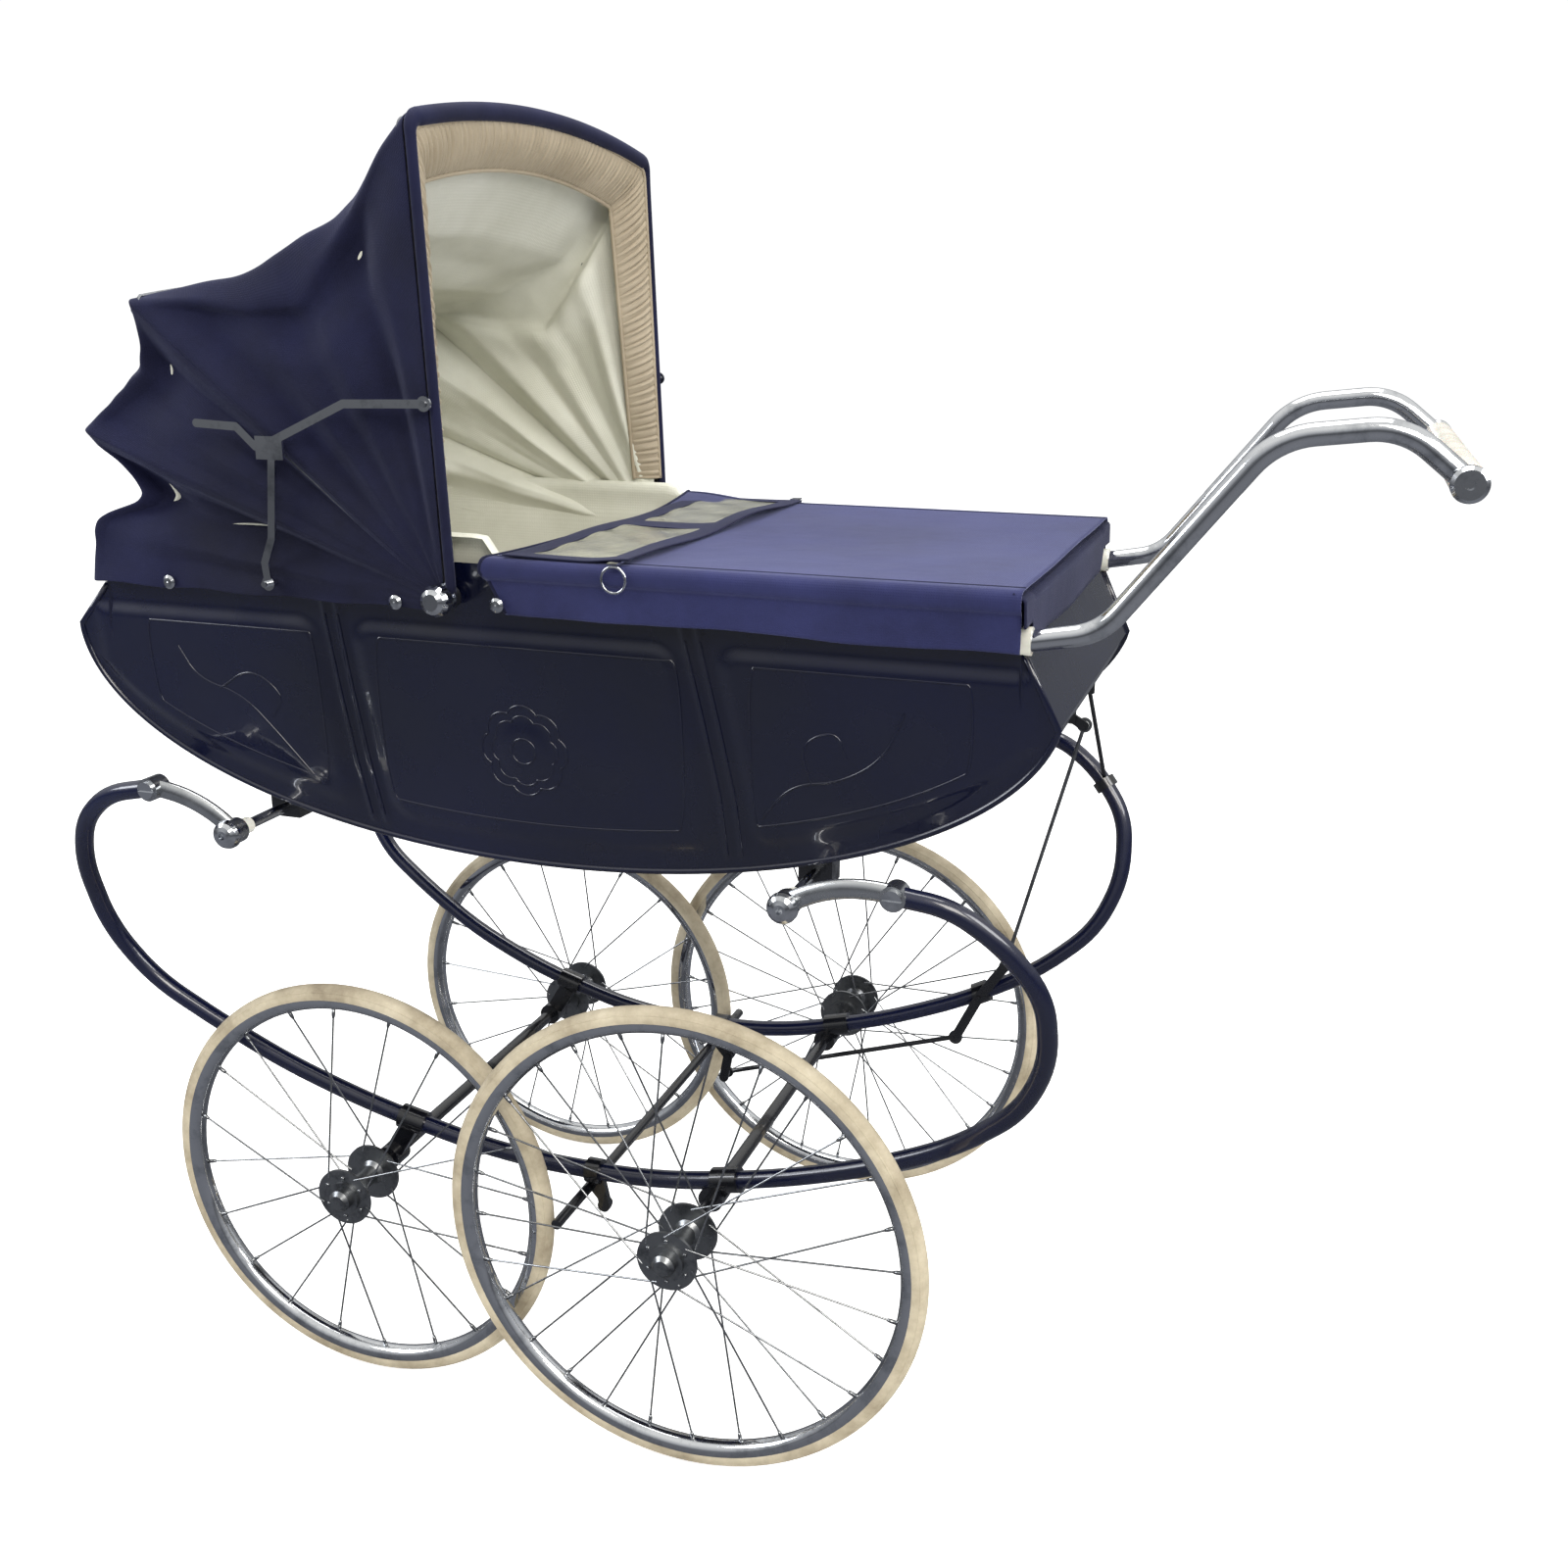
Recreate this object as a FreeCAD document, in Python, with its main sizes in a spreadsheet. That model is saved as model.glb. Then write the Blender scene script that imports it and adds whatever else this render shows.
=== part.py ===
"""Coach-built baby stroller: enamelled body slung in two spring loops on four wire wheels,
with a folding hood, an apron cover, a push handle and a foot-end brake.
Millimetres.  +X runs towards the push handle, +Z is up, the left side is -Y.  The origin is on
the ground under the middle of the stroller.  Lengthwise places are counted from the rear axle."""
import FreeCAD, Part
import math
import os
from FreeCAD import Placement, Rotation, Vector

os.makedirs("parts", exist_ok=True)
doc = FreeCAD.newDocument("Stroller")
sheet = doc.addObject("Spreadsheet::Sheet", "Sheet")

SIZES = [
    # wheels
    ("rear_tyre_od", 508, "rear wheel over its tyre"),
    ("front_tyre_od", 461, "front wheel over its tyre"),
    ("tyre_section", 21.6, "diameter of the solid tyre"),
    ("rim_section", 20.8, "diameter the rolled rim is bent to"),
    ("rim_step", 6, "rim circle inside the tyre circle"),
    ("rear_track_half", 296, "tyre plane from the middle, rear"),
    ("front_track_half", 264.7, "tyre plane from the middle, front"),
    ("wheelbase", 386, "front axle ahead of the rear axle"),
    ("rear_spoke_pairs", 7, "pairs of spokes on each rear flange"),
    ("front_spoke_pairs", 5, "pairs of spokes on each front flange"),
    ("spoke_dia", 2, "spoke wire"),
    ("rear_spoke_cross", 2, "spoke pitches from a spoke's hub hole round to its rim hole, rear"),
    ("front_spoke_cross", 1, "spoke pitches from a spoke's hub hole round to its rim hole, front"),
    ("flange_dia", 63, "spoke flange"),
    ("flange_thick", 3, "spoke flange"),
    ("flange_out", 33, "outer flange outboard of the tyre plane"),
    ("flange_in", 22, "inner flange inboard of the tyre plane"),
    ("barrel_dia", 20, "hub barrel"),
    ("hub_ring_dia", 36, "raised ring on each flange"),
    ("cap_dia", 24, "hub cap"),
    ("cap_reach", 48, "hub cap's end outboard of the tyre plane"),
    ("axle_dia", 12, "axle journal"),
    ("axle_bar_dia", 15, "axle between the brackets"),
    ("run_gap", 0.05, "radial running clearance"),
    # spring loops
    ("tube_dia", 19, "loop tube"),
    ("tube_wall", 2, "wall of the loop and handle tubes"),
    ("loop_mid_x", -174, "lowest point of a loop"),
    ("loop_front", 519, "front reach of a loop from its lowest point"),
    ("loop_rear", 520, "rear reach of a loop from its lowest point"),
    ("loop_low_z", 252, "lowest point of a loop"),
    ("loop_front_rise", 420, "front end of a loop above its lowest point"),
    ("loop_rear_rise", 399, "rear end of a loop above its lowest point"),
    ("loop_low_half", 193.6, "loop from the middle at its lowest point"),
    ("loop_splay", 0.27, "sideways per millimetre of height"),
    ("collar_dia", 27, "clamp collar on the loop tube"),
    ("collar_long", 30, "clamp collar on the loop tube"),
    ("collar_back", 29, "front axle's collar behind the axle"),
    ("front_collar_x", "=0 - wheelbase + collar_back", "front axle's collar"),
    ("rear_collar_x", 14, "rear axle's collar"),
    # body suspension
    ("rod_dia", 11.5, "cross rod"),
    ("front_rod_x", -484, "front cross rod"),
    ("rear_rod_x", 109, "rear cross rod"),
    ("rod_front_z", 631, "front cross rod"),
    ("rod_rear_z", 628, "rear cross rod"),
    ("rod_half", 296, "arm's middle plane at the rod"),
    ("arm_tall", 19, "hanger arm's depth"),
    ("arm_thick", 12, "hanger arm's thickness"),
    ("bush_dia", 17, "nylon bush"),
    ("bush_long", 16, "nylon bush"),
    ("dome_dia", 30, "cap nut on the cross rod"),
    ("saddle_inset", 28, "saddle inside the body's lower edge"),
    # body
    ("tub_mid_x", -178, "middle of the body's belly curve"),
    ("tub_half_long", 519, "half length at the widest height"),
    ("tub_wide_z", 821, "height of the front tip"),
    ("tub_low_z", 608, "underside"),
    ("tub_rim_z", 912, "rim"),
    ("nose_back", 42, "front wall behind the front tip"),
    ("tub_nose_x", "=tub_mid_x - tub_half_long + nose_back", "front wall"),
    ("tub_nose_z", 866, "foot of the front wall"),
    ("tail_back", 39, "rear wall ahead of the belly curve's end"),
    ("tub_tail_x", "=tub_mid_x + tub_half_long - tail_back", "rear wall"),
    ("tub_tail_z", 868, "foot of the rear wall"),
    ("tub_tail_tip_z", 795, "lower corner of the sloping rear panel"),
    ("tub_half_top", 250, "half width at the rim"),
    ("tub_half_low", 224, "half width at the underside"),
    ("saddle_half", "=tub_half_low - saddle_inset", "saddle's place from the middle"),
    ("tub_wall", 1.5, "sheet metal of the body shell"),
    ("lining_gap", 1, "lining clear of the shell"),
    ("lining_thick", 3, "padded lining"),
    ("lining_proud", 2, "lining above the rim"),
    ("lining_z", "=tub_rim_z + lining_proud", "top of the lining under the apron"),
    ("ledge_rise", 22, "raised lining above the rest"),
    ("ledge_z", "=lining_z + ledge_rise", "top of the raised lining"),
    ("floor_z", 700, "floor board"),
    ("floor_thick", 8, "floor board"),
    ("mattress_thick", 46, "mattress"),
    ("apron_x", -195, "front edge of the apron cover"),
    ("ledge_gap", 10, "raised lining ahead of the apron"),
    ("ledge_x", "=apron_x - ledge_gap", "end of the raised lining under the hood"),
    ("apron_lift", 5.5, "apron's top above the lining"),
    ("apron_z", "=lining_z + apron_lift", "top of the apron cover"),
    ("apron_stand", 14, "apron's skirts outside the body"),
    ("apron_half", "=tub_half_top + apron_stand", "apron cover over its skirts"),
    ("skirt_drop", 46, "side skirts below the rim"),
    ("skirt_z", "=tub_rim_z - skirt_drop", "lower edge of the side skirts"),
    ("cloth", 2, "cloth, as a solid"),
    # handle
    ("handle_dia", 19, "push handle tube"),
    ("handle_inset", 10, "push handle tube inside the body's side"),
    ("handle_half", "=tub_half_top - handle_inset", "push handle tube from the middle"),
    ("socket_dia", 25, "handle socket"),
    ("socket_long", 9, "handle socket"),
    ("handle_up", 5, "handle tube above the foot of the rear wall"),
    ("handle_low_z", "=tub_tail_z + handle_up", "handle tube where it leaves its socket"),
    ("grip_reach", 338, "grip behind the rear wall"),
    ("grip_x", "=tub_tail_x + grip_reach", "grip"),
    ("grip_z", 1022, "grip"),
    ("grip_dia", 28, "grip"),
    ("end_cap_dia", 29, "cap at each end of the grip"),
    ("end_cap_long", 14, "cap at each end of the grip"),
    # hood
    ("pivot_x", -245, "hood pivot"),
    ("pivot_drop", 32, "hood pivot below the rim"),
    ("pivot_z", "=tub_rim_z - pivot_drop", "hood pivot"),
    ("bow_long", 427, "pivot to a bow's corner"),
    ("bow_arch", 22, "rise of a bow's top"),
    ("bow_corner", 14, "corner radius of a bow"),
    ("bow_thick", 2.5, "bow strip"),
    ("bow_wide", 16, "bow strip"),
    ("bow_gap", 0.5, "between the bows' legs"),
    ("bow_stand", 4.5, "rear bow's outer face outside the body"),
    ("rear_bow_half", "=tub_half_top + bow_stand", "outer face of the rear bow's legs"),
    ("front_bow_deg", 92.3, "front bow, raised"),
    ("middle_bow_deg", 141.1, "middle bow, raised"),
    ("rear_bow_deg", 160.3, "rear bow, raised"),
    ("bolt_dia", 8, "hood pivot bolt"),
    ("knob_dia", 30, "hood knob"),
    ("knob_long", 27, "hood knob"),
    ("frill_wide", 45, "frill inside the hood's edge"),
    # hood stays
    ("stay_stand", 6, "stay bars clear of the hood cloth"),
    ("stay_thick", 2.5, "stay bar"),
    ("stay_wide", 8, "stay bar"),
    ("stay_pin_dia", 6, "stay pin"),
    ("stay_front_x", -249, "stay pin on the front bow"),
    ("stay_front_z", 1060, "stay pin on the front bow"),
    ("knuckle_x", -418, "stay knuckle"),
    ("knuckle_z", 1020, "stay knuckle"),
    ("stay_foot_x", -435, "stay post on the body"),
    ("stay_foot_up", 4, "stay post above the hood pivot"),
    ("stay_foot_z", "=pivot_z + stay_foot_up", "stay post on the body"),
    ("front_stud_back", 97, "hood's front stud behind the body's front wall"),
    ("mid_stud_ahead", 53, "hood's middle stud ahead of the pivot"),
    ("apron_stud_back", 6, "apron's stud behind its front edge"),
    ("stud_up", 11, "studs above the skirts' lower edge"),
    # storm flap
    ("flap_gap", 0.9, "storm flap above the apron"),
    ("flap_z", "=apron_z + flap_gap", "underside of the storm flap"),
    ("flap_back", 9, "hinge edge behind the apron's front edge"),
    ("flap_x", "=apron_x + flap_back", "hinge edge of the storm flap"),
    ("flap_long", 128, "storm flap"),
    ("flap_inset", 8, "storm flap inside the apron's skirts"),
    ("flap_half", "=apron_half - flap_inset", "storm flap"),
    ("window_edge", 22, "cloth round the flap's windows"),
    ("ring_dia", 24, "pull ring"),
    ("ring_wire", 2.6, "pull ring"),
    # brake
    ("brake_bar_dia", 11, "brake bar"),
    ("brake_gap", 3, "brake bar behind the front tyres"),
    ("brake_bar_up", 1.5, "brake bar above the front axle"),
    ("brake_bar_z", "=front_tyre_od / 2 + brake_bar_up", "brake bar"),
    ("brake_reach", 17, "hangers' pivot behind the bar"),
    ("brake_pivot_x", "=front_tyre_od / 2 - wheelbase + brake_gap + brake_bar_dia / 2 + brake_reach", "brake bar's hangers"),
    ("brake_drop", 20, "hangers' pivot below the bar"),
    ("brake_pivot_z", "=brake_bar_z - brake_drop", "brake bar's hangers"),
    ("brake_lug_drop", 32, "lug below the pivot"),
    ("brake_lug_z", "=brake_pivot_z - brake_lug_drop", "lug the link rod pulls"),
    ("brake_arm_thick", 4, "brake arms"),
    ("brake_pin_dia", 6, "brake pins"),
    ("link_dia", 6, "brake link rod"),
    ("crank_x", 193, "brake crank pivot"),
    ("crank_low_x", 165, "crank's lower pin"),
    ("crank_low_z", 278, "crank's lower pin"),
    ("crank_top_x", 222, "crank's upper pin"),
    ("crank_top_z", 381, "crank's upper pin"),
    ("yoke_x", 300, "pull rod's upper pin"),
    ("yoke_z", 690, "pull rod's upper pin"),
    ("lever_x", 280, "brake lever pivot"),
    ("lever_z", 702, "brake lever pivot"),
    ("open_gap", 2.5, "radial slack at an opened linkage pin"),
    ("side_gap", 0.6, "side clearance between moving plates"),
]


class Size:
    """A number that also remembers the sheet expression it came from."""

    def __init__(self, value, text):
        self.value, self.text = float(value), text

    def _join(self, other, sign, value):
        return Size(value, "(%s %s %s)" % (self.text, sign, size(other).text))

    def __add__(self, o): return self._join(o, "+", self.value + size(o).value)
    def __radd__(self, o): return size(o) + self
    def __sub__(self, o): return self._join(o, "-", self.value - size(o).value)
    def __rsub__(self, o): return size(o) - self
    def __mul__(self, o): return self._join(o, "*", self.value * size(o).value)
    def __rmul__(self, o): return size(o) * self
    def __truediv__(self, o): return self._join(o, "/", self.value / size(o).value)
    def __neg__(self): return size(0) - self
    def __float__(self): return self.value


def size(v):
    return v if isinstance(v, Size) else Size(v, "%.6f" % v)


class Sheet:
    """Reads a named value out of the spreadsheet."""

    def __getattr__(self, alias):
        return Size(sheet.get(alias), "Sheet." + alias)


def put(row, alias, value, note):
    sheet.set("A%d" % row, alias)
    sheet.set("B%d" % row, value if isinstance(value, str) else "%.6f" % value)
    sheet.setAlias("B%d" % row, alias)
    sheet.set("C%d" % row, note)


for row, (alias, value, note) in enumerate(SIZES, 1):
    put(row, alias, value, note)
doc.recompute()
s = Sheet()
UP, ACROSS, ALONG = Vector(0, 0, 1), Vector(0, 1, 0), Vector(1, 0, 0)
TO_Y = Rotation(ALONG, -90)          # turns a primitive's own axis to +Y


# ---------------------------------------------------------------- helpers
def bind(obj, prop, value):
    obj.setExpression(prop, size(value).text)


def place(obj, x=0, y=0, z=0, rotation=Rotation()):
    obj.Placement = Placement(Vector(float(size(x)), float(size(y)), float(size(z))), rotation)
    for axis, value in zip("xyz", (x, y, z)):
        if isinstance(value, Size):
            bind(obj, "Placement.Base." + axis, value)
    return obj


def cylinder(name, dia, length, x, y, z, rotation=TO_Y):
    """A round bar from (x, y, z), along +Y unless another rotation is given."""
    bar = doc.addObject("Part::Cylinder", name)
    bind(bar, "Radius", size(dia) / 2)
    bind(bar, "Height", size(length))
    return place(bar, x, y, z, rotation)


def torus(name, ring_radius, section_radius, x, y, z):
    ring = doc.addObject("Part::Torus", name)
    bind(ring, "Radius1", ring_radius)
    bind(ring, "Radius2", section_radius)
    return place(ring, x, y, z, TO_Y)


def cut(name, base, tool):
    result = doc.addObject("Part::Cut", name)
    result.Base, result.Tool = base, tool
    return result


def fuse(name, pieces):
    result = doc.addObject("Part::MultiFuse", name)
    result.Shapes = pieces
    return result


def common(name, pieces):
    result = doc.addObject("Part::MultiCommon", name)
    result.Shapes = pieces
    return result


def group(name, pieces):
    result = doc.addObject("Part::Compound", name)
    result.Links = pieces
    return result


def coded(name, shape):
    """A shape no primitive, sketch or boolean makes."""
    feature = doc.addObject("Part::Feature", name)
    feature.Shape = shape
    return feature


def outline(body, name, role, points):
    """A closed sketch through points, each corner dimensioned from the origin."""
    sketch = body.newObject("Sketcher::SketchObject", name)
    plane = [f for f in body.Origin.OriginFeatures if f.Role == role][0]
    sketch.AttachmentSupport = [(plane, "")]
    sketch.MapMode = "FlatFace"
    points = [(size(a), size(b)) for a, b in points]
    count = len(points)
    for i, (a, b) in enumerate(points):
        c, d = points[(i + 1) % count]
        sketch.addGeometry(Part.LineSegment(Vector(a.value, b.value, 0), Vector(c.value, d.value, 0)))
    import Sketcher
    for i in range(count):
        sketch.addConstraint(Sketcher.Constraint("Coincident", i, 2, (i + 1) % count, 1))
    for i, corner in enumerate(points):
        for kind, value, axis in (("DistanceX", corner[0], -2), ("DistanceY", corner[1], -1)):
            if abs(value.value) < 1e-9:
                sketch.addConstraint(Sketcher.Constraint("PointOnObject", i, 1, axis))
            else:
                index = sketch.addConstraint(Sketcher.Constraint(kind, -1, 1, i, 1, value.value))
                sketch.setExpression("Constraints[%d]" % index, value.text)
    return sketch


def turned(name, points, x, y, z, outboard):
    """A turned piece: points are (radius, place along the axis), outboard is +1 or -1."""
    body = doc.addObject("PartDesign::Body", name)
    sketch = outline(body, name + "_profile", "XY_Plane", points)
    turn = body.newObject("PartDesign::Revolution", name + "_turn")
    turn.Profile = sketch
    turn.ReferenceAxis = (sketch, ["V_Axis"])
    turn.Angle = 360
    sketch.Visibility = False
    return place(body, x, y, z, Rotation(UP, 0 if outboard > 0 else 180))


def plate(name, points, thick, y):
    """A flat plate standing in the XZ plane, thick across Y and centred on y."""
    body = doc.addObject("PartDesign::Body", name)
    sketch = outline(body, name + "_profile", "XZ_Plane", points)
    pad = body.newObject("PartDesign::Pad", name + "_pad")
    pad.Profile = sketch
    bind(pad, "Length", thick)
    if hasattr(pad, "SideType"):
        pad.SideType = "Symmetric"
    else:
        pad.Midplane = True
    sketch.Visibility = False
    return place(body, 0, y, 0)


def rounded_path(points, radii=None):
    """Straight runs joined by tangent arcs.  A radius of None takes 0.45 of the shorter run."""
    points = [Vector(*p) for p in points]
    edges, start = [], points[0]
    for i in range(1, len(points) - 1):
        before, corner, after = points[i - 1], points[i], points[i + 1]
        a, b = before - corner, after - corner
        run = min(a.Length, b.Length)
        a.normalize()
        b.normalize()
        half_turn = (math.pi - a.getAngle(b)) / 2
        radius = radii[i - 1] if radii else None
        trim = radius * math.tan(half_turn) if radius else 0.45 * run
        radius = trim / math.tan(half_turn)
        first, last = corner + a * trim, corner + b * trim
        inward = a + b
        inward.normalize()
        middle = corner + inward * (radius / math.cos(half_turn) - radius)
        if (first - start).Length > 1e-6:
            edges.append(Part.LineSegment(start, first).toShape())
        edges.append(Part.Arc(first, middle, last).toShape())
        start = last
    edges.append(Part.LineSegment(start, points[-1]).toShape())
    return Part.Wire(edges)


def tube(name, path, dia):
    """A round bar swept along a path."""
    spine = coded(name + "_path", path)
    edge = path.OrderedEdges[0]
    start, heading = edge.valueAt(edge.FirstParameter), edge.tangentAt(edge.FirstParameter)
    ring = doc.addObject("Part::Circle", name + "_section")
    bind(ring, "Radius", size(dia) / 2)
    ring.Placement = Placement(start, Rotation(UP, heading))
    sweep = doc.addObject("Part::Sweep", name)
    sweep.Sections = [ring]
    sweep.Spine = (spine, ["Edge%d" % (i + 1) for i in range(len(path.Edges))])
    sweep.Solid = True
    sweep.Transition = "Right corner"
    return sweep


def at_x(path, x, low=True):
    """The point of a path at x, on its lower or upper run, and the path's heading there."""
    x = float(size(x))
    points = path.discretize(Number=900)
    found = []
    for p, q in zip(points, points[1:]):
        if (p.x - x) * (q.x - x) <= 0 and abs(q.x - p.x) > 1e-9:
            t = (x - p.x) / (q.x - p.x)
            found.append((p + (q - p) * t, (q - p).normalize()))
    found.sort(key=lambda item: item[0].z)
    return found[0] if low else found[-1]


# ---------------------------------------------------------------- lengthwise origin
LOOP_SHAPE = [  # (share of the reach, height above the lowest point), front end to rear end
    (-0.760, 1.000, "f"), (-0.880, 0.968, "f"), (-0.965, 0.880, "f"), (-1.004, 0.752, "f"),
    (-0.998, 0.560, "f"), (-0.925, 0.405, "f"), (-0.790, 0.292, "f"), (-0.640, 0.186, "f"),
    (-0.440, 0.089, "f"), (-0.150, 0.0, "f"), (0.190, 0.0, "r"), (0.460, 0.085, "r"),
    (0.660, 0.182, "r"), (0.830, 0.298, "r"), (0.955, 0.440, "r"), (1.006, 0.600, "r"),
    (0.998, 0.778, "r"), (0.925, 0.905, "r"), (0.838, 0.985, "r"), (0.742, 1.000, "r")]


def loop_path(side, shift):
    """One spring loop's centreline, lying in a plane that leans outwards as it rises."""
    points = []
    for share, rise, end in LOOP_SHAPE:
        reach = float(s.loop_front) if end == "f" else float(s.loop_rear)
        height = float(s.loop_front_rise) if end == "f" else float(s.loop_rear_rise)
        lift = rise * height
        points.append((shift + float(s.loop_mid_x) + share * reach,
                       side * (float(s.loop_low_half) + float(s.loop_splay) * lift),
                       float(s.loop_low_z) + lift))
    return rounded_path(points)


left_end = loop_path(1, 0).BoundBox.XMin - float(s.tube_dia) / 2
right_end = float(s.grip_x) + max(float(s.end_cap_dia), float(s.grip_dia)) / 2
put(len(SIZES) + 2, "rear_axle_x", -(left_end + right_end) / 2,
    "rear axle from the middle of the overall length")
doc.recompute()
OX = s.rear_axle_x
ox = float(OX)
SIDES = (("left", -1), ("right", 1))
parts = {}


def keep(name, obj):
    """Names a finished piece."""
    obj.Label = name
    parts[name] = obj
    return obj


# ---------------------------------------------------------------- wheels
def spoke_set(name, tyre_radius, pairs, cross, x, y, z, outboard):
    """Crossed spokes from both hub flanges to the rim, as separate straight wires."""
    head_r = float(s.flange_dia) / 2 - 4.5
    rim_r = tyre_radius - float(s.tyre_section) / 2 - float(s.rim_step) - float(s.rim_section) / 2 + 1.5
    pitch = math.pi / pairs             # on one flange; the other flange's spokes stand half a pitch round
    wires = []
    for flange, reach in ((1, float(s.flange_out)), (-1, -float(s.flange_in))):
        for k in range(2 * pairs):
            way = 1 if k % 2 else -1
            turn = pitch * (k + (0.375 if flange > 0 else 0.875))
            head = Vector(head_r * math.cos(turn), reach + way * 1.7, head_r * math.sin(turn))
            far = turn + way * cross * pitch
            foot = Vector(rim_r * math.cos(far), flange * 2.6 + way * 0.9, rim_r * math.sin(far))
            wires.append(Part.makeCylinder(float(s.spoke_dia) / 2, (foot - head).Length, head, foot - head))
    feature = coded(name, Part.makeCompound(wires))
    return place(feature, x, y, z, Rotation(UP, 0 if outboard > 0 else 180))


def wheel(end, side, sign):
    od = s.rear_tyre_od if end == "rear" else s.front_tyre_od
    x = OX if end == "rear" else OX - s.wheelbase
    y = (s.rear_track_half if end == "rear" else s.front_track_half) * sign
    z = od / 2
    tag = "%s_%s" % (end, side)
    tyre_circle = od / 2 - s.tyre_section / 2
    tyre = torus("tyre_" + tag, tyre_circle, s.tyre_section / 2, x, y, z)
    keep("tyre_" + tag, tyre)
    blank = torus("rim_blank_" + tag, tyre_circle - s.rim_step, s.rim_section / 2, x, y, z)
    keep("rim_" + tag, cut("rim_" + tag, blank, tyre))
    pairs = int(float(s.rear_spoke_pairs if end == "rear" else s.front_spoke_pairs))
    cross = float(s.rear_spoke_cross if end == "rear" else s.front_spoke_cross)
    keep("spokes_" + tag, spoke_set("spokes_" + tag, float(od) / 2, pairs, cross, x, y, z, sign))
    bore, barrel, ring = s.axle_dia / 2 + s.run_gap, s.barrel_dia / 2, s.hub_ring_dia / 2
    rim_r, half = s.flange_dia / 2, s.flange_thick / 2
    inner, outer = -s.flange_in, s.flange_out
    barrel_piece = turned("hub_barrel_" + tag, [
        (bore, inner - half - 4), (ring, inner - half - 4), (ring, inner - half),
        (rim_r, inner - half), (rim_r, inner + half), (barrel + 4, inner + half),
        (barrel, inner + half + 4), (barrel, outer - half - 4), (barrel + 4, outer - half),
        (rim_r, outer - half), (rim_r, outer + half), (ring, outer + half),
        (ring, outer + half + 3), (bore, outer + half + 3)], x, y, z, sign)
    face = outer + half + 3
    cap = turned("hub_cap_" + tag, [
        (size(0), s.cap_reach - 3), (s.cap_dia / 2 - 6, s.cap_reach - 3), (s.cap_dia / 2 - 3, s.cap_reach - 5),
        (s.cap_dia / 2 - 3, face), (s.cap_dia / 2, face), (s.cap_dia / 2, s.cap_reach - 4),
        (s.cap_dia / 2 - 4, s.cap_reach), (size(0), s.cap_reach)], x, y, z, sign)
    keep("hub_" + tag, group("hub_" + tag, [barrel_piece, cap]))


for end in ("rear", "front"):
    for side, sign in SIDES:
        wheel(end, side, sign)


# ---------------------------------------------------------------- loops, axles and brackets
paths, loops = {}, {}
for side, sign in SIDES:
    paths[side] = loop_path(sign, ox)
    loops[side] = tube("loop_bar_" + side, paths[side], s.tube_dia)
    core = tube("loop_core_" + side, paths[side], s.tube_dia - s.tube_wall * 2)
    keep("side_loop_" + side, cut("side_loop_" + side, loops[side], core))


def collar(name, side, x, long=None):
    """A clamp collar round the loop tube, centred at x."""
    point, heading = at_x(paths[side], x)
    length = float(long if long is not None else s.collar_long)
    start = point - heading * (length / 2)
    ring = doc.addObject("Part::Cylinder", name)
    bind(ring, "Radius", s.collar_dia / 2)
    ring.Height = length
    ring.Placement = Placement(start, Rotation(UP, heading))
    return ring, point


def strip(name, x0, z0, x1, z1, wide, thick, y):
    """A flat bar between two points of the XZ plane."""
    x0, z0, x1, z1 = (float(size(v)) for v in (x0, z0, x1, z1))
    dx, dz = x1 - x0, z1 - z0
    long = math.hypot(dx, dz)
    bar = doc.addObject("Part::Box", name)
    bar.Length = long
    bind(bar, "Height", size(wide))
    bind(bar, "Width", size(thick))
    turn = Rotation(ACROSS, -math.degrees(math.atan2(dz, dx)))
    corner = Vector(x0, float(size(y)) - float(size(thick)) / 2, z0) + turn.multVec(
        Vector(0, 0, -float(size(wide)) / 2))
    bar.Placement = Placement(corner, turn)
    return bar


brackets = []
for end, axle_x, collar_x in (("front", OX - s.wheelbase, s.front_collar_x), ("rear", OX, s.rear_collar_x)):
    axle_z = (s.front_tyre_od if end == "front" else s.rear_tyre_od) / 2
    track = s.front_track_half if end == "front" else s.rear_track_half
    bar_half = s.loop_low_half - 18
    end_half = track + s.cap_reach - 6
    axle = turned(end + "_axle", [
        (size(0), -end_half), (s.axle_dia / 2, -end_half), (s.axle_dia / 2, -bar_half),
        (s.axle_bar_dia / 2, -bar_half), (s.axle_bar_dia / 2, bar_half), (s.axle_dia / 2, bar_half),
        (s.axle_dia / 2, end_half), (size(0), end_half)], axle_x, 0, axle_z, 1)
    keep(end + "_axle", axle)
    for side, sign in SIDES:
        tag = "%s_%s" % (end, side)
        ring, point = collar("bracket_collar_" + tag, side, OX + collar_x)
        boss = cylinder("bracket_boss_" + tag, s.collar_dia, 26, axle_x, size(point.y - 13), axle_z)
        web = strip("bracket_web_" + tag, point.x, point.z, axle_x, axle_z, 20, 12, point.y)
        blank = fuse("bracket_blank_" + tag, [ring, boss, web])
        bored = cut("bracket_bored_" + tag, blank, axle)
        brackets.append(cut("bracket_" + tag, bored, loops[side]))
keep("axle_brackets", group("axle_brackets", brackets))


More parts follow.
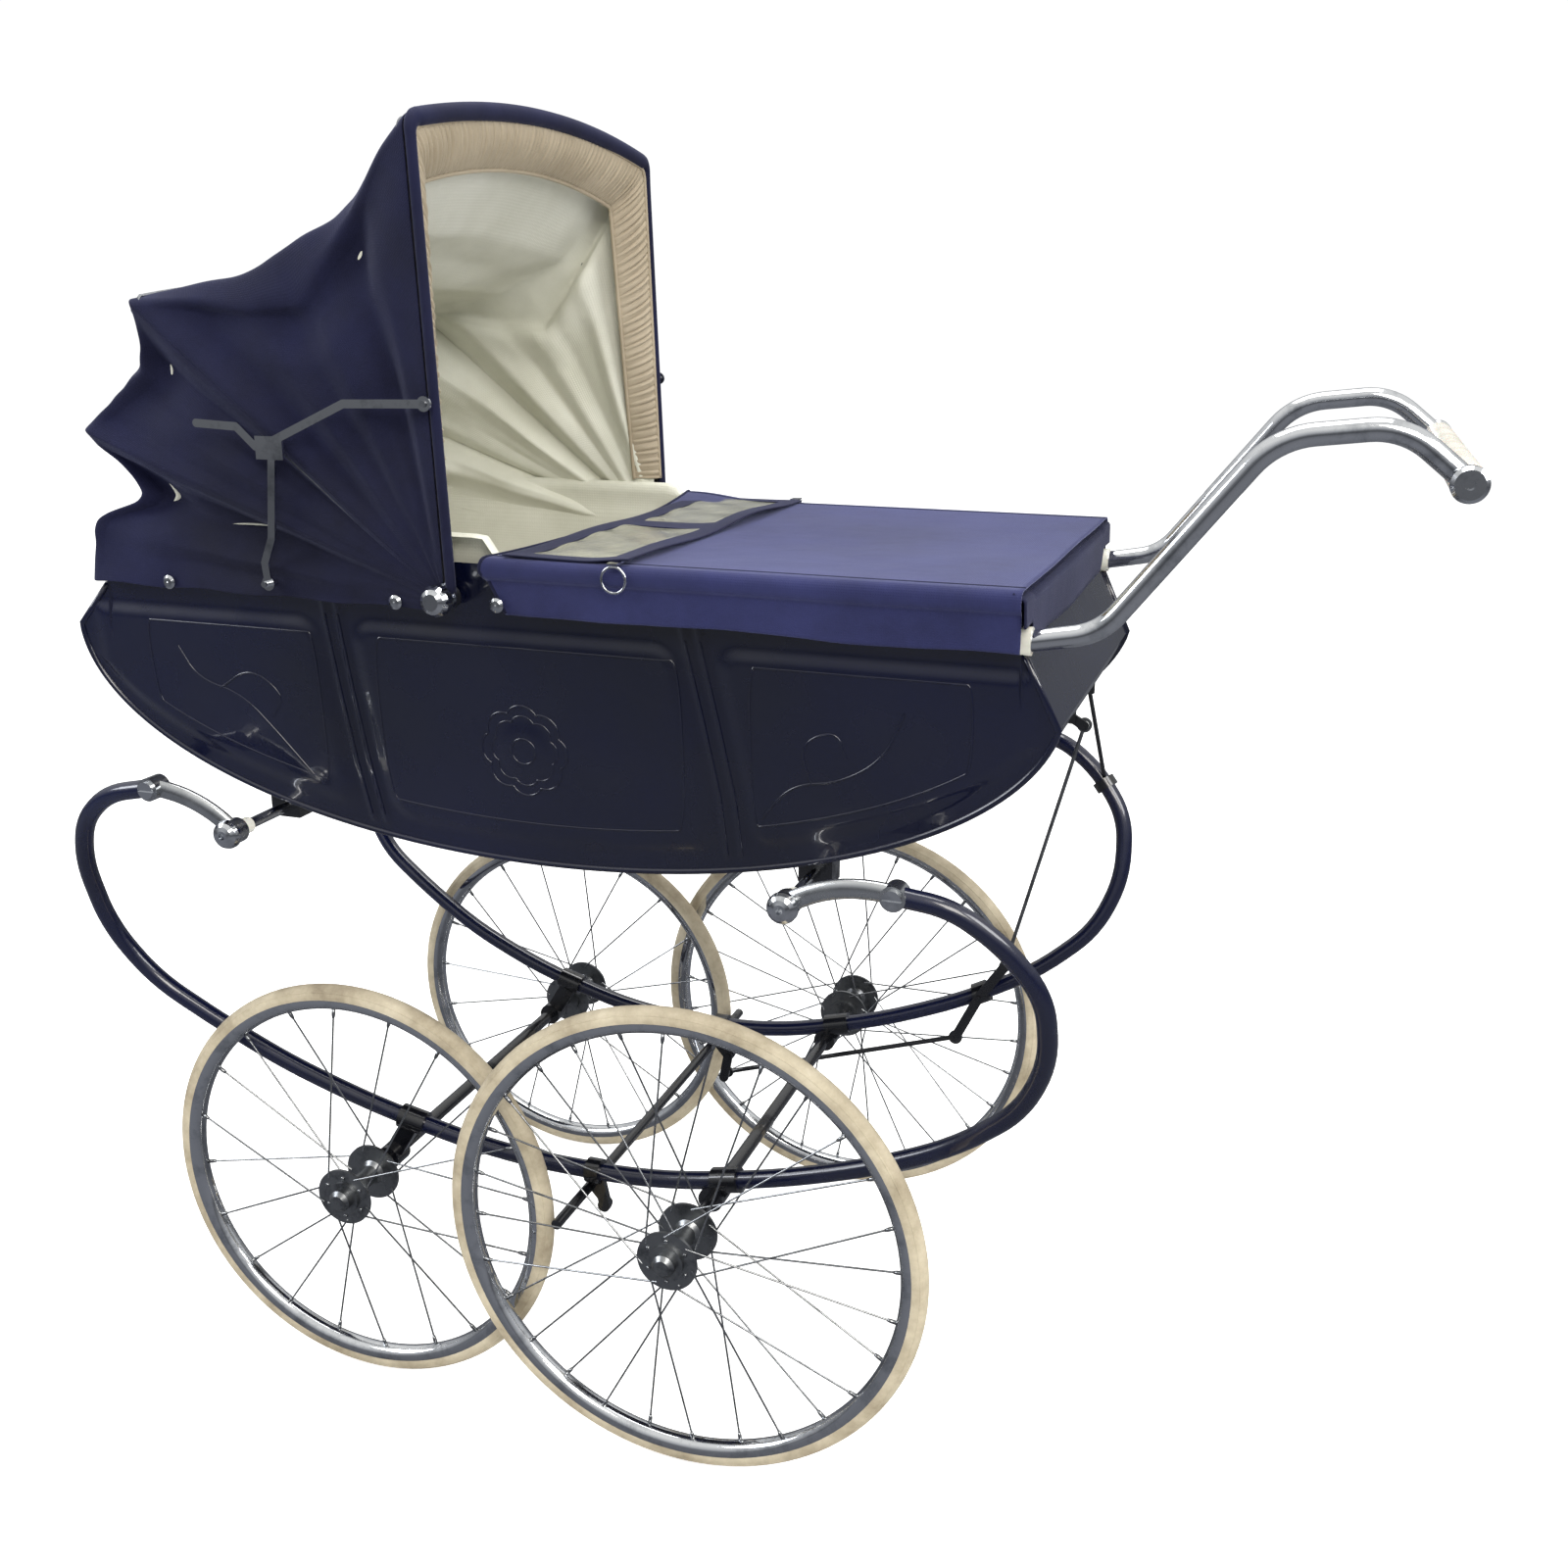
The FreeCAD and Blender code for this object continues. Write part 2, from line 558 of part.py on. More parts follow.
# ---------------------------------------------------------------- body
def belly(name, inset, top, step=None):
    """The body's side outline moved in by inset, up to top, as a face in the XZ plane."""
    mid, low = ox + float(s.tub_mid_x), float(s.tub_wide_z)
    a, b = float(s.tub_half_long) - inset, float(s.tub_wide_z) - float(s.tub_low_z) - inset
    dip = math.asin((low - float(s.tub_tail_tip_z)) / b)
    curve = Part.Ellipse(Vector(mid, 0, low), a, b)
    curve.Axis = Vector(0, -1, 0)
    curve.XAxis = Vector(1, 0, 0)
    tip = Vector(mid + a * math.cos(dip), 0, low - b * math.sin(dip))
    front = Vector(mid - a, 0, low)
    bottom = Vector(mid - a * math.cos(1.1), 0, low - b * math.sin(1.1))
    lowest = Vector(mid, 0, low - b)
    aft = Vector(mid + a * math.cos(1.1), 0, low - b * math.sin(1.1))
    arc = []
    for p, q in ((front, lowest), (lowest, tip)):
        u, v = curve.parameter(p), curve.parameter(q)
        arc.append(Part.ArcOfEllipse(curve, u, v if v > u else v + 2 * math.pi).toShape())
    nose, tail = ox + float(s.tub_nose_x) + inset, ox + float(s.tub_tail_x) - inset
    corners = [tip, Vector(tail, 0, float(s.tub_tail_z) - 0.4 * inset), Vector(tail, 0, step or top)]
    if step:
        corners += [Vector(ox + float(s.ledge_x), 0, step), Vector(ox + float(s.ledge_x), 0, top)]
    corners += [Vector(nose, 0, top), Vector(nose, 0, float(s.tub_nose_z) - 0.4 * inset), front]
    lines = [Part.LineSegment(p, q).toShape() for p, q in zip(corners, corners[1:])]
    return coded(name, Part.Face(Part.Wire(arc + lines)))


def boat(name, inset, top, step=None, low=None):
    """The body's solid shape moved in by inset: the side outline between two leaning planes."""
    inset, top = float(size(inset)), float(size(top))
    face = belly(name + "_side", inset, top, float(size(step)) if step is not None else None)
    block = doc.addObject("Part::Extrusion", name + "_block")
    block.Base = face
    block.DirMode = "Custom"
    block.Dir = ACROSS
    block.LengthFwd = 600
    block.Symmetric = True
    block.Solid = True
    wedge = doc.addObject("Part::Wedge", name + "_taper")
    slope = (float(s.tub_half_top) - float(s.tub_half_low)) / (float(s.tub_rim_z) - float(s.tub_low_z))
    z0 = float(s.tub_low_z) - 20 if low is None else float(size(low))
    z1 = top + 20
    for prop, value in (("Ymin", z0), ("Ymax", z1), ("Xmin", -900), ("Xmax", 900), ("X2min", -900), ("X2max", 900)):
        setattr(wedge, prop, value)
    for which, z in (("Z", z0), ("Z2", z1)):
        half = float(s.tub_half_low) + slope * (z - float(s.tub_low_z)) - inset
        setattr(wedge, which + "max", half)
        setattr(wedge, which + "min", -half)
    wedge.Placement = Placement(Vector(), Rotation(ALONG, 90))
    return common(name, [block, wedge])


tub_outer = boat("tub_outer", 0, s.tub_rim_z)
tub_inner = boat("tub_inner", s.tub_wall, s.tub_rim_z + 30)
tub = keep("tub_shell", cut("tub_shell", tub_outer, tub_inner))
lining_in = s.tub_wall + s.lining_gap
lining_outer = boat("lining_outer", lining_in, s.ledge_z, s.lining_z, s.floor_z)
lining_inner = boat("lining_inner", lining_in + s.lining_thick, s.ledge_z + 30, None, s.floor_z - 30)
keep("tub_lining", cut("tub_lining", lining_outer, lining_inner))


def slab(name, low, thick):
    box = doc.addObject("Part::Box", name)
    box.Length, box.Width = 1800, 800
    bind(box, "Height", thick)
    return place(box, -900, -400, low)


floor_fit = boat("floor_fit", lining_in + s.lining_thick + 1, s.tub_rim_z, None, s.floor_z - 40)
keep("floor_board", common("floor_board", [floor_fit, slab("floor_slab", s.floor_z, s.floor_thick)]))
bed_fit = boat("bed_fit", lining_in + s.lining_thick + 12, s.tub_rim_z, None, s.floor_z - 40)
keep("mattress", common("mattress", [
    bed_fit, slab("mattress_slab", s.floor_z + s.floor_thick + 0.5, s.mattress_thick)]))

# apron cover: a shallow lid with skirts, open underneath
tail = OX + s.tub_tail_x
apron_end = tail + 5
apron_block = doc.addObject("Part::Box", "apron_block")
bind(apron_block, "Length", apron_end - (OX + s.apron_x))
bind(apron_block, "Width", s.apron_half * 2)
bind(apron_block, "Height", s.apron_z - s.skirt_z)
place(apron_block, OX + s.apron_x, -s.apron_half, s.skirt_z)
apron_hollow = doc.addObject("Part::Box", "apron_hollow")
bind(apron_hollow, "Length", apron_end - (OX + s.apron_x) - s.cloth + 10)
bind(apron_hollow, "Width", (s.apron_half - s.cloth) * 2)
bind(apron_hollow, "Height", s.apron_z - s.skirt_z - s.cloth + 10)
place(apron_hollow, OX + s.apron_x - 10, -(s.apron_half - s.cloth), s.skirt_z - 10)
apron_lift = doc.addObject("Part::Box", "apron_lift")
apron_lift.Length = 40
apron_lift.Width = 600
apron_lift.Height = 44
place(apron_lift, tail - 10, -300, s.skirt_z - 18)
apron_lid = cut("apron_lid", apron_block, apron_hollow)
apron_trimmed = cut("apron_trimmed", apron_lid, apron_lift)
stud_holes = fuse("apron_stud_holes", [
    cylinder("apron_stud_hole_" + side, 6.4, 60, OX + s.apron_x + s.apron_stud_back, size(sign) * s.apron_half - 30,
             s.skirt_z + s.stud_up) for side, sign in SIDES])
keep("apron_cover", cut("apron_cover", apron_trimmed, stud_holes))


# ---------------------------------------------------------------- body suspension
arms, screws, bushes, saddles, rods = [], [], [], [], []
for end, rod_x, rod_z in (("front", s.front_rod_x, s.rod_front_z), ("rear", s.rear_rod_x, s.rod_rear_z)):
    x = OX + rod_x
    rod = cylinder(end + "_rod", s.rod_dia, s.rod_half * 2 + s.arm_thick + 12, x,
                   -(s.rod_half + s.arm_thick / 2 + 6), rod_z)
    rods.append(rod)
    for side, sign in SIDES:
        tag = "%s_%s" % (end, side)
        path_ends = [v.Point for v in (paths[side].OrderedVertexes[0], paths[side].OrderedVertexes[-1])]
        tip = path_ends[0] if end == "front" else path_ends[1]
        foot = Vector(float(x), sign * float(s.rod_half), float(rod_z))
        # the arm arches from the tube's end down to the rod
        crown = (tip + foot) * 0.5 + Vector(0, 0, 0.10 * (tip - foot).Length)
        arch = Part.Wire([Part.Arc(tip, crown, foot).toShape()])
        spine = coded("arm_path_" + tag, arch)
        heading = arch.Edges[0].tangentAt(arch.Edges[0].FirstParameter)
        ring = doc.addObject("Part::Ellipse", "arm_section_" + tag)
        bind(ring, "MajorRadius", s.arm_tall / 2)
        bind(ring, "MinorRadius", s.arm_thick / 2)
        flat = Rotation(ALONG, UP, ACROSS, "XZY")
        across = ACROSS - heading * ACROSS.dot(heading)
        across.normalize()
        ring.Placement = Placement(tip, Rotation(across.cross(heading), across, heading, "ZXY"))
        sweep = doc.addObject("Part::Sweep", "arm_bar_" + tag)
        sweep.Sections, sweep.Spine, sweep.Solid = [ring], (spine, ["Edge1"]), True
        tip_boss = cylinder("arm_tip_" + tag, s.tube_dia + 5, s.arm_thick + 9, size(tip.x),
                            size(tip.y - (float(s.arm_thick) + 9) / 2), size(tip.z))
        foot_boss = cylinder("arm_foot_" + tag, s.dome_dia - 4, s.arm_thick + 2, x,
                             size(foot.y - (float(s.arm_thick) + 2) / 2), rod_z)
        blank = fuse("arm_blank_" + tag, [sweep, tip_boss, foot_boss])
        bored = cut("arm_bored_" + tag, blank, rod)
        arms.append(cut("arm_" + tag, bored, loops[side]))
        # slotted screw at the tube's end
        screw_face = tip.y + sign * (float(s.arm_thick) + 9) / 2
        head = cylinder("screw_head_" + tag, s.tube_dia - 1, 3.5, size(tip.x),
                        size(screw_face if sign > 0 else screw_face - 3.5), size(tip.z))
        slot = doc.addObject("Part::Box", "screw_slot_" + tag)
        slot.Length, slot.Width, slot.Height = 30, 4, 2.2
        place(slot, size(tip.x - 15), size(screw_face + 1.5 if sign > 0 else screw_face - 5.5), size(tip.z - 1.1))
        screws.append(cut("screw_" + tag, head, slot))
        # domed cap nut with its key hole
        face = foot.y + sign * (float(s.arm_thick) + 2) / 2
        dome = turned("dome_blank_" + tag, [
            (size(3.2), size(0)), (s.dome_dia / 2 - 1.5, size(0)), (s.dome_dia / 2, size(1.5)),
            (s.dome_dia / 2, size(5)), (s.dome_dia / 2 - 1.6, size(9)), (s.dome_dia / 2 - 5, size(12)),
            (size(6), size(13.5)), (size(3.2), size(13.5))], x, size(face), rod_z, sign)
        screws.append(cut("dome_" + tag, dome, rod))
        inner = foot.y - sign * (float(s.arm_thick) + 2) / 2
        bush = cylinder("bush_blank_" + tag, s.bush_dia, s.bush_long, x,
                        size(inner - float(s.bush_long) if sign > 0 else inner), rod_z)
        bushes.append(cut("bush_" + tag, bush, rod))
        block = doc.addObject("Part::Box", "saddle_block_" + tag)
        block.Length, block.Width, block.Height = 34, 26, 60
        place(block, x - 17, s.saddle_half * sign - 13, rod_z - s.rod_dia / 2 - 5)
        shaped = cut("saddle_shaped_" + tag, block, tub_outer)
        saddles.append(cut("saddle_" + tag, shaped, rod))
keep("hanger_arms", group("hanger_arms", arms))
keep("hanger_screws_and_caps", group("hanger_screws_and_caps", screws))
keep("cross_rod_bushes", group("cross_rod_bushes", bushes))
keep("body_saddles", group("body_saddles", saddles))
keep("cross_rods", group("cross_rods", rods))


# ---------------------------------------------------------------- push handle
tubes, caps, sockets = [], [], []
for side, sign in SIDES:
    y = sign * float(s.handle_half)
    base = ox + float(s.tub_tail_x)
    gx, gz, hz = ox + float(s.grip_x), float(s.grip_z), float(s.handle_low_z)
    rise = gz - hz
    path = rounded_path([
        (base + 1, y, hz), (base + 66, y, hz + 12), (gx - 144, y, hz + 1.195 * rise),
        (gx - 50, y, hz + 1.27 * rise), (gx, y, gz)], [58, 70, 62])
    bent = tube("handle_bent_" + side, path, s.handle_dia)
    hollow = tube("handle_core_" + side, path, s.handle_dia - s.tube_wall * 2)
    grip_hole = cylinder("grip_seat_" + side, s.handle_dia + 3, s.handle_dia + 14, size(gx),
                         size(y - (float(s.handle_dia) + 14) / 2), size(gz))
    seated = cut("handle_seated_" + side, bent, grip_hole)
    opened = cut("handle_opened_" + side, seated, hollow)
    tubes.append(cut("handle_tube_" + side, opened, tub_outer))
    boss = cylinder("end_cap_boss_" + side, s.handle_dia + 3, s.handle_dia + 1, size(gx),
                    size(y - (float(s.handle_dia) + 1) / 2), size(gz))
    outer_y = y + sign * (float(s.handle_dia) + 1) / 2
    cap = turned("end_cap_disc_" + side, [
        (size(0), size(0)), (s.end_cap_dia / 2 - 2, size(0)), (s.end_cap_dia / 2, size(2)),
        (s.end_cap_dia / 2, s.end_cap_long - 3), (s.end_cap_dia / 2 - 3, s.end_cap_long),
        (size(4), s.end_cap_long), (size(4), s.end_cap_long - 6), (size(0), s.end_cap_long - 6)],
        size(gx), size(outer_y), size(gz), sign)
    caps.append(fuse("end_cap_" + side, [boss, cap]))
    ring = cylinder("socket_ring_" + side, s.socket_dia, s.socket_long, tail, size(y), size(hz + 1),
                    Rotation(UP, ALONG))
    fitted = cut("socket_fitted_" + side, ring, bent)
    sockets.append(cut("socket_" + side, fitted, tub_outer))
keep("handle_tubes", group("handle_tubes", tubes))
keep("handle_end_caps", group("handle_end_caps", caps))
keep("handle_sockets", group("handle_sockets", sockets))
grip_half = s.handle_half - s.handle_dia / 2 - 0.5
keep("handle_grip", cylinder("handle_grip", s.grip_dia, grip_half * 2, OX + s.grip_x, -grip_half, s.grip_z))


# ---------------------------------------------------------------- hood
PX, PZ = ox + float(s.pivot_x), float(s.pivot_z)


def hood_point(y, r, degrees, shift=0.0):
    """A point at radius r from the pivot axis on the half plane at an angle, moved across it."""
    a = math.radians(degrees)
    return Vector(PX + r * math.cos(a) - shift * math.sin(a), y, PZ + r * math.sin(a) + shift * math.cos(a))


def hoop(half, top, start, corner, arch, degrees, shift=0.0):
    """The open arch outline (left foot, up, over, right foot) as a list of edges in one plane."""
    at = lambda y, r: hood_point(y, r, degrees, shift)
    diag = corner * (1 - math.sqrt(0.5))
    slope = arch / half * 2
    over = math.sqrt(max(corner * corner * slope * slope / (1 + slope * slope), 0))
    left = [Part.LineSegment(at(-half, start), at(-half, top - corner)).toShape(),
            Part.Arc(at(-half, top - corner), at(-half + diag, top - diag), at(-half + corner, top)).toShape()]
    crown = [Part.Arc(at(-half + corner, top), at(0, top + arch), at(half - corner, top)).toShape()]
    right = [Part.Arc(at(half - corner, top), at(half - diag, top - diag), at(half, top - corner)).toShape(),
             Part.LineSegment(at(half, top - corner), at(half, start)).toShape()]
    return left + crown + right


def hoop_ring(half, top, start, corner, arch, thick, degrees, shift=0.0):
    """A closed strip of the given thickness just inside the arch outline."""
    outer = hoop(half, top, start, corner, arch, degrees, shift)
    inner = hoop(half - thick, top - thick, start, corner - thick if corner > thick + 1 else 1.0,
                 arch, degrees, shift)
    foot_l = Part.LineSegment(outer[0].Vertexes[0].Point, inner[0].Vertexes[0].Point).toShape()
    foot_r = Part.LineSegment(outer[-1].Vertexes[-1].Point, inner[-1].Vertexes[-1].Point).toShape()
    return Part.Wire(Part.__sortEdges__(outer + [foot_l, foot_r] + inner))


def band(half, top, start, corner, arch, thick, degrees, wide):
    """A flat strip bent to the arch, its width centred on the half plane."""
    ring = Part.Face(hoop_ring(half, top, start, corner, arch, thick, degrees, -wide / 2))
    a = math.radians(degrees)
    return ring.extrude(Vector(-math.sin(a), 0, math.cos(a)) * wide)


def bow(name, half, degrees, studs=()):
    """A hood bow: a flat steel strip with an eye at each foot."""
    thick, wide = float(s.bow_thick), float(s.bow_wide)
    strip_solid = band(half, float(s.bow_long), 6.0, float(s.bow_corner), float(s.bow_arch), thick, degrees, wide)
    solids = [strip_solid]
    for sign in (-1, 1):
        inner_face = half - thick if sign > 0 else -half
        eye = Part.makeCylinder(wide * 0.72, thick, Vector(PX, inner_face, PZ), ACROSS)
        solids.append(eye)
    solid = solids[0].multiFuse(solids[1:])
    hole = Part.makeCylinder(float(s.bolt_dia) / 2 + float(s.run_gap), 700, Vector(PX, -350, PZ), ACROSS)
    solid = solid.cut(hole)
    for x, z, reach in studs:
        for sign in (-1, 1):
            face = half - 1.0
            pin = Part.makeCylinder(float(s.stay_pin_dia) / 2, reach - face,
                                    Vector(x, sign * face, z), ACROSS * sign)
            solid = solid.fuse(pin)
    return keep(name, coded(name, solid))


step = s.bow_thick + s.bow_gap
rear_half = float(s.rear_bow_half)
middle_half, front_half = rear_half + float(step), rear_half + 2 * float(step)
cloth_half = front_half + 1.0 + float(s.cloth)
stay_near = cloth_half + float(s.stay_stand)     # inner face of the lower stay bars
stay_far = stay_near + float(s.stay_thick) + float(s.side_gap)
stay_out = stay_far + float(s.stay_thick)
stay_x, stay_z = ox + float(s.stay_front_x), float(s.stay_front_z)
bow("rear_bow", rear_half, float(s.rear_bow_deg))
bow("middle_bow", middle_half, float(s.middle_bow_deg))
bow("front_bow", front_half, float(s.front_bow_deg), [(stay_x, stay_z, stay_out + 2.0)])


def cloth_panel(name, sections, holes=()):
    """A hood cloth: a thin shell lofted through arches given as (degrees, reach from the pivot)."""
    rings = []
    for deg, reach in sections:
        # where the cloth wraps the body's square nose it is square too
        wraps = abs(reach - nose_reach) < 0.01
        corner, arch = (16.0, 4.0) if wraps else (float(s.bow_corner), float(s.bow_arch))
        rings.append(hoop_ring(cloth_half, reach, 30.0, corner, arch, float(s.cloth), deg))
    solid = Part.makeLoft(rings, True, True)
    for x, z, dia in holes:
        solid = solid.cut(Part.makeCylinder(dia / 2, 700, Vector(x, -350, z), ACROSS))
    return keep(name, coded(name, solid))


cover = float(s.bow_long) + 1.0 + float(s.cloth)
front_deg, middle_deg, rear_deg = (float(s.front_bow_deg), float(s.middle_bow_deg), float(s.rear_bow_deg))
part_deg, bow_deg = 0.06, 1.9                   # gap between cloths, half width of a bow
nose_reach = float(s.pivot_x) - float(s.tub_nose_x) + 3.2 + float(s.cloth)
cloth_panel("hood_cloth_front", [
    (front_deg - bow_deg, cover), (front_deg + bow_deg, cover), (front_deg + 0.26 * (middle_deg - front_deg), 0.90 * cover),
    (front_deg + 0.50 * (middle_deg - front_deg), 0.81 * cover), (front_deg + 0.76 * (middle_deg - front_deg), 0.87 * cover),
    (middle_deg - bow_deg, cover), (middle_deg - part_deg, cover)], [(stay_x, stay_z, float(s.stay_pin_dia) + 3)])
cloth_panel("hood_cloth_middle", [
    (middle_deg + part_deg, cover), (middle_deg + bow_deg, cover),
    (middle_deg + 0.40 * (rear_deg - middle_deg), 0.915 * cover), (rear_deg - bow_deg, cover), (rear_deg - part_deg, cover)])
foot_hole = (ox + float(s.stay_foot_x), float(s.stay_foot_z), 12.0)
cloth_panel("hood_cloth_rear", [
    (rear_deg + part_deg, cover), (rear_deg + bow_deg, cover), (168.6, 0.85 * cover), (171.4, nose_reach),
    (175.0, nose_reach), (181.4, nose_reach)], [foot_hole])
frill_top = float(s.bow_long) - float(s.bow_thick) - 1.5
frill_half = front_half - float(s.bow_thick) - 1.5
keep("hood_frill", coded("hood_frill", band(
    frill_half, frill_top, float(s.ledge_z) - PZ + 6, float(s.frill_wide) + 14, float(s.bow_arch), float(s.frill_wide),
    front_deg, 5.0)))

# pivot bolts, spacers and knobs
bolts = []
hull_half = (s.tub_half_low + (s.tub_half_top - s.tub_half_low) * (s.pivot_z - s.tub_low_z)
             / (s.tub_rim_z - s.tub_low_z))
spacer_out = s.rear_bow_half - s.bow_thick - s.bow_gap
washer_in = s.rear_bow_half + step * 2 + s.bow_gap
washer_out = washer_in + 1.5
knob_in = washer_out + s.bow_gap
pivot_x = OX + s.pivot_x
for side, sign in SIDES:
    def along(name, dia, a, b):
        low = a if sign > 0 else -b
        return cylinder(name + side, dia, b - a, pivot_x, low, s.pivot_z)
    shank = along("bolt_shank_", s.bolt_dia, hull_half - 0.3, knob_in + s.knob_long - 6)
    spacer = along("bolt_spacer_", s.bolt_dia * 2, hull_half, spacer_out)
    washer = along("bolt_washer_", s.bolt_dia * 3, washer_in, washer_out)
    whole = fuse("pivot_bolt_" + side, [shank, spacer, washer])
    bolts.append(cut("pivot_bolt_fitted_" + side, whole, tub))
    bore = s.bolt_dia / 2 + s.run_gap
    knob = turned("knob_blank_" + side, [
        (bore, size(0)), (s.bolt_dia, size(0)), (s.bolt_dia, size(5)), (s.knob_dia / 2 - 3, size(7)),
        (s.knob_dia / 2, size(11)), (s.knob_dia / 2, s.knob_long - 8), (s.knob_dia / 2 - 3, s.knob_long - 3),
        (s.knob_dia / 2 - 7, s.knob_long), (size(0), s.knob_long), (size(0), s.knob_long - 5), (bore, s.knob_long - 5)],
        pivot_x, knob_in * sign, s.pivot_z, sign)
    flutes = []
    for k in range(8):
        turn = 2 * math.pi * k / 8
        flutes.append(cylinder("knob_flute_%s_%d" % (side, k), 6, s.knob_long, size(
            float(pivot_x) + (float(s.knob_dia) / 2 + 1.4) * math.cos(turn)),
            size(sign * float(knob_in) + (6.5 if sign > 0 else -6.5 - float(s.knob_long))),
            size(float(s.pivot_z) + (float(s.knob_dia) / 2 + 1.4) * math.sin(turn))))
    keep("hood_knob_" + side, cut("hood_knob_" + side, knob, fuse("knob_flutes_" + side, flutes)))
keep("hood_pivot_bolts", group("hood_pivot_bolts", bolts))


# ---------------------------------------------------------------- hood stays
def bar_chain(points, wide, y0, thick):
    """Flat bars joined end to end, lying between y0 and y0 + thick."""
    low, high = (y0, y0 + thick) if thick > 0 else (y0 + thick, y0)
    pieces = []
    for (x, z), (u, v) in zip(points, points[1:]):
        dx, dz = u - x, v - z
        long = math.hypot(dx, dz)
        nx, nz = -dz / long * wide / 2, dx / long * wide / 2
        corners = [(x + nx, z + nz), (u + nx, v + nz), (u - nx, v - nz), (x - nx, z - nz)]
        wire = Part.makePolygon([Vector(a, low, b) for a, b in corners + corners[:1]])
        pieces.append(Part.Face(wire).extrude(Vector(0, high - low, 0)))
    for x, z in points:
        pieces.append(Part.makeCylinder(wide / 2, high - low, Vector(x, low, z), ACROSS))
    return pieces[0].multiFuse(pieces[1:]).removeSplitter()


def eyed(solid, x, z, dia, y0, thick, hole):
    """Adds a round eye with a hole to a flat bar."""
    low = min(y0, y0 + thick)
    disc = Part.makeCylinder(dia / 2, abs(thick), Vector(x, low, z), ACROSS)
    return solid.fuse(disc).cut(Part.makeCylinder(hole / 2, 60, Vector(x, low - 20, z), ACROSS))


kx, kz = ox + float(s.knuckle_x), float(s.knuckle_z)
fx, fz = ox + float(s.stay_foot_x), float(s.stay_foot_z)
thick, wide = float(s.stay_thick), float(s.stay_wide)
pin_hole = float(s.stay_pin_dia) + 2 * float(s.run_gap)
posts = []
for side, sign in SIDES:
    upper = bar_chain([(stay_x, stay_z), (stay_x - 85, stay_z - 2), (kx, kz), (kx - 16, kz - 4), (kx - 36, kz + 14),
                       (kx - 81, kz + 16)], wide, sign * stay_far, sign * thick)
    upper = eyed(upper, stay_x, stay_z, 14.0, sign * stay_far, sign * thick, pin_hole)
    knuckle = Part.makeBox(30, thick, 22, Vector(kx - 16, min(sign * stay_far, sign * stay_far + sign * thick), kz - 16))
    keep("stay_upper_" + side, coded("stay_upper_" + side, upper.fuse(knuckle).removeSplitter()))
    lower = bar_chain([(kx, kz), (kx - 9, kz - 92), (kx - 19, kz - 116), (fx, fz)], wide, sign * stay_near, sign * thick)
    lower = eyed(lower, fx, fz, 14.0, sign * stay_near, sign * thick, pin_hole)
    keep("stay_lower_" + side, coded("stay_lower_" + side, lower))
    foot_half = float(s.tub_half_low) + (float(s.tub_half_top) - float(s.tub_half_low)) * (
        fz - float(s.tub_low_z)) / (float(s.tub_rim_z) - float(s.tub_low_z))
    post = cylinder("stay_post_" + side, s.stay_pin_dia, stay_out - foot_half + 4.3, size(fx),
                    size(foot_half - 0.3 if sign > 0 else -(stay_out + 4)), size(fz))
    posts.append(cut("stay_post_fitted_" + side, post, tub))


# ---------------------------------------------------------------- studs, rings and flap
studs = list(posts)
for side, sign in SIDES:
    for name, along_x, z, base in (
            ("front", s.tub_nose_x + s.front_stud_back, s.skirt_z + s.stud_up, cloth_half),
            ("mid", s.pivot_x - s.mid_stud_ahead, s.skirt_z + s.stud_up - 4, cloth_half),
            ("apron", s.apron_x + s.apron_stud_back, s.skirt_z + s.stud_up, float(s.apron_half))):
        studs.append(turned("stud_%s_%s" % (name, side), [
            (size(0), size(0)), (size(7), size(0)), (size(7), size(1.5)), (size(4.5), size(3.4)), (size(0), size(3.8))],
            OX + along_x, size(sign * (base + 0.2)), z, sign))
keep("studs_and_stay_posts", group("studs_and_stay_posts", studs))

lining_half = float(s.tub_half_top) - float(lining_in + s.lining_thick)
tags = []
for side, sign in SIDES:
    ring = torus("harness_ring_" + side, size(9), size(1.3), OX - 330, size(sign * (lining_half - 14)), s.tub_rim_z - 17)
    tab = doc.addObject("Part::Box", "harness_tab_" + side)
    tab.Length, tab.Width, tab.Height = 16, 10, 3
    place(tab, OX - 338, size(sign * (lining_half - 6.5) - 5), s.tub_rim_z - 9)
    tags.append(fuse("harness_" + side, [ring, tab]))
keep("harness_rings", group("harness_rings", tags))

flap_x0, flap_x1 = OX + s.flap_x, OX + s.flap_x + s.flap_long
flap_block = doc.addObject("Part::Box", "flap_block")
bind(flap_block, "Length", s.flap_long)
bind(flap_block, "Width", s.flap_half * 2)
bind(flap_block, "Height", s.cloth)
place(flap_block, flap_x0, -s.flap_half, s.flap_z)
panes, panes_cut = [], []
pane_wide = s.flap_half - s.window_edge * 2
for side, sign in SIDES:
    for target, z, high in ((panes_cut, s.flap_z - 5, size(12)), (panes, s.flap_z + 0.6, size(0.8))):
        pane = doc.addObject("Part::Box", "flap_%s_%s" % ("hole" if target is panes_cut else "pane", side))
        bind(pane, "Length", s.flap_long - s.window_edge * 2)
        bind(pane, "Width", pane_wide)
        bind(pane, "Height", high)
        y0 = s.window_edge if sign > 0 else -(s.window_edge + pane_wide)
        target.append(place(pane, flap_x0 + s.window_edge, y0, z))
keep("storm_flap", cut("storm_flap", flap_block, fuse("flap_openings", panes_cut)))
keep("flap_windows", group("flap_windows", panes))
rings = []
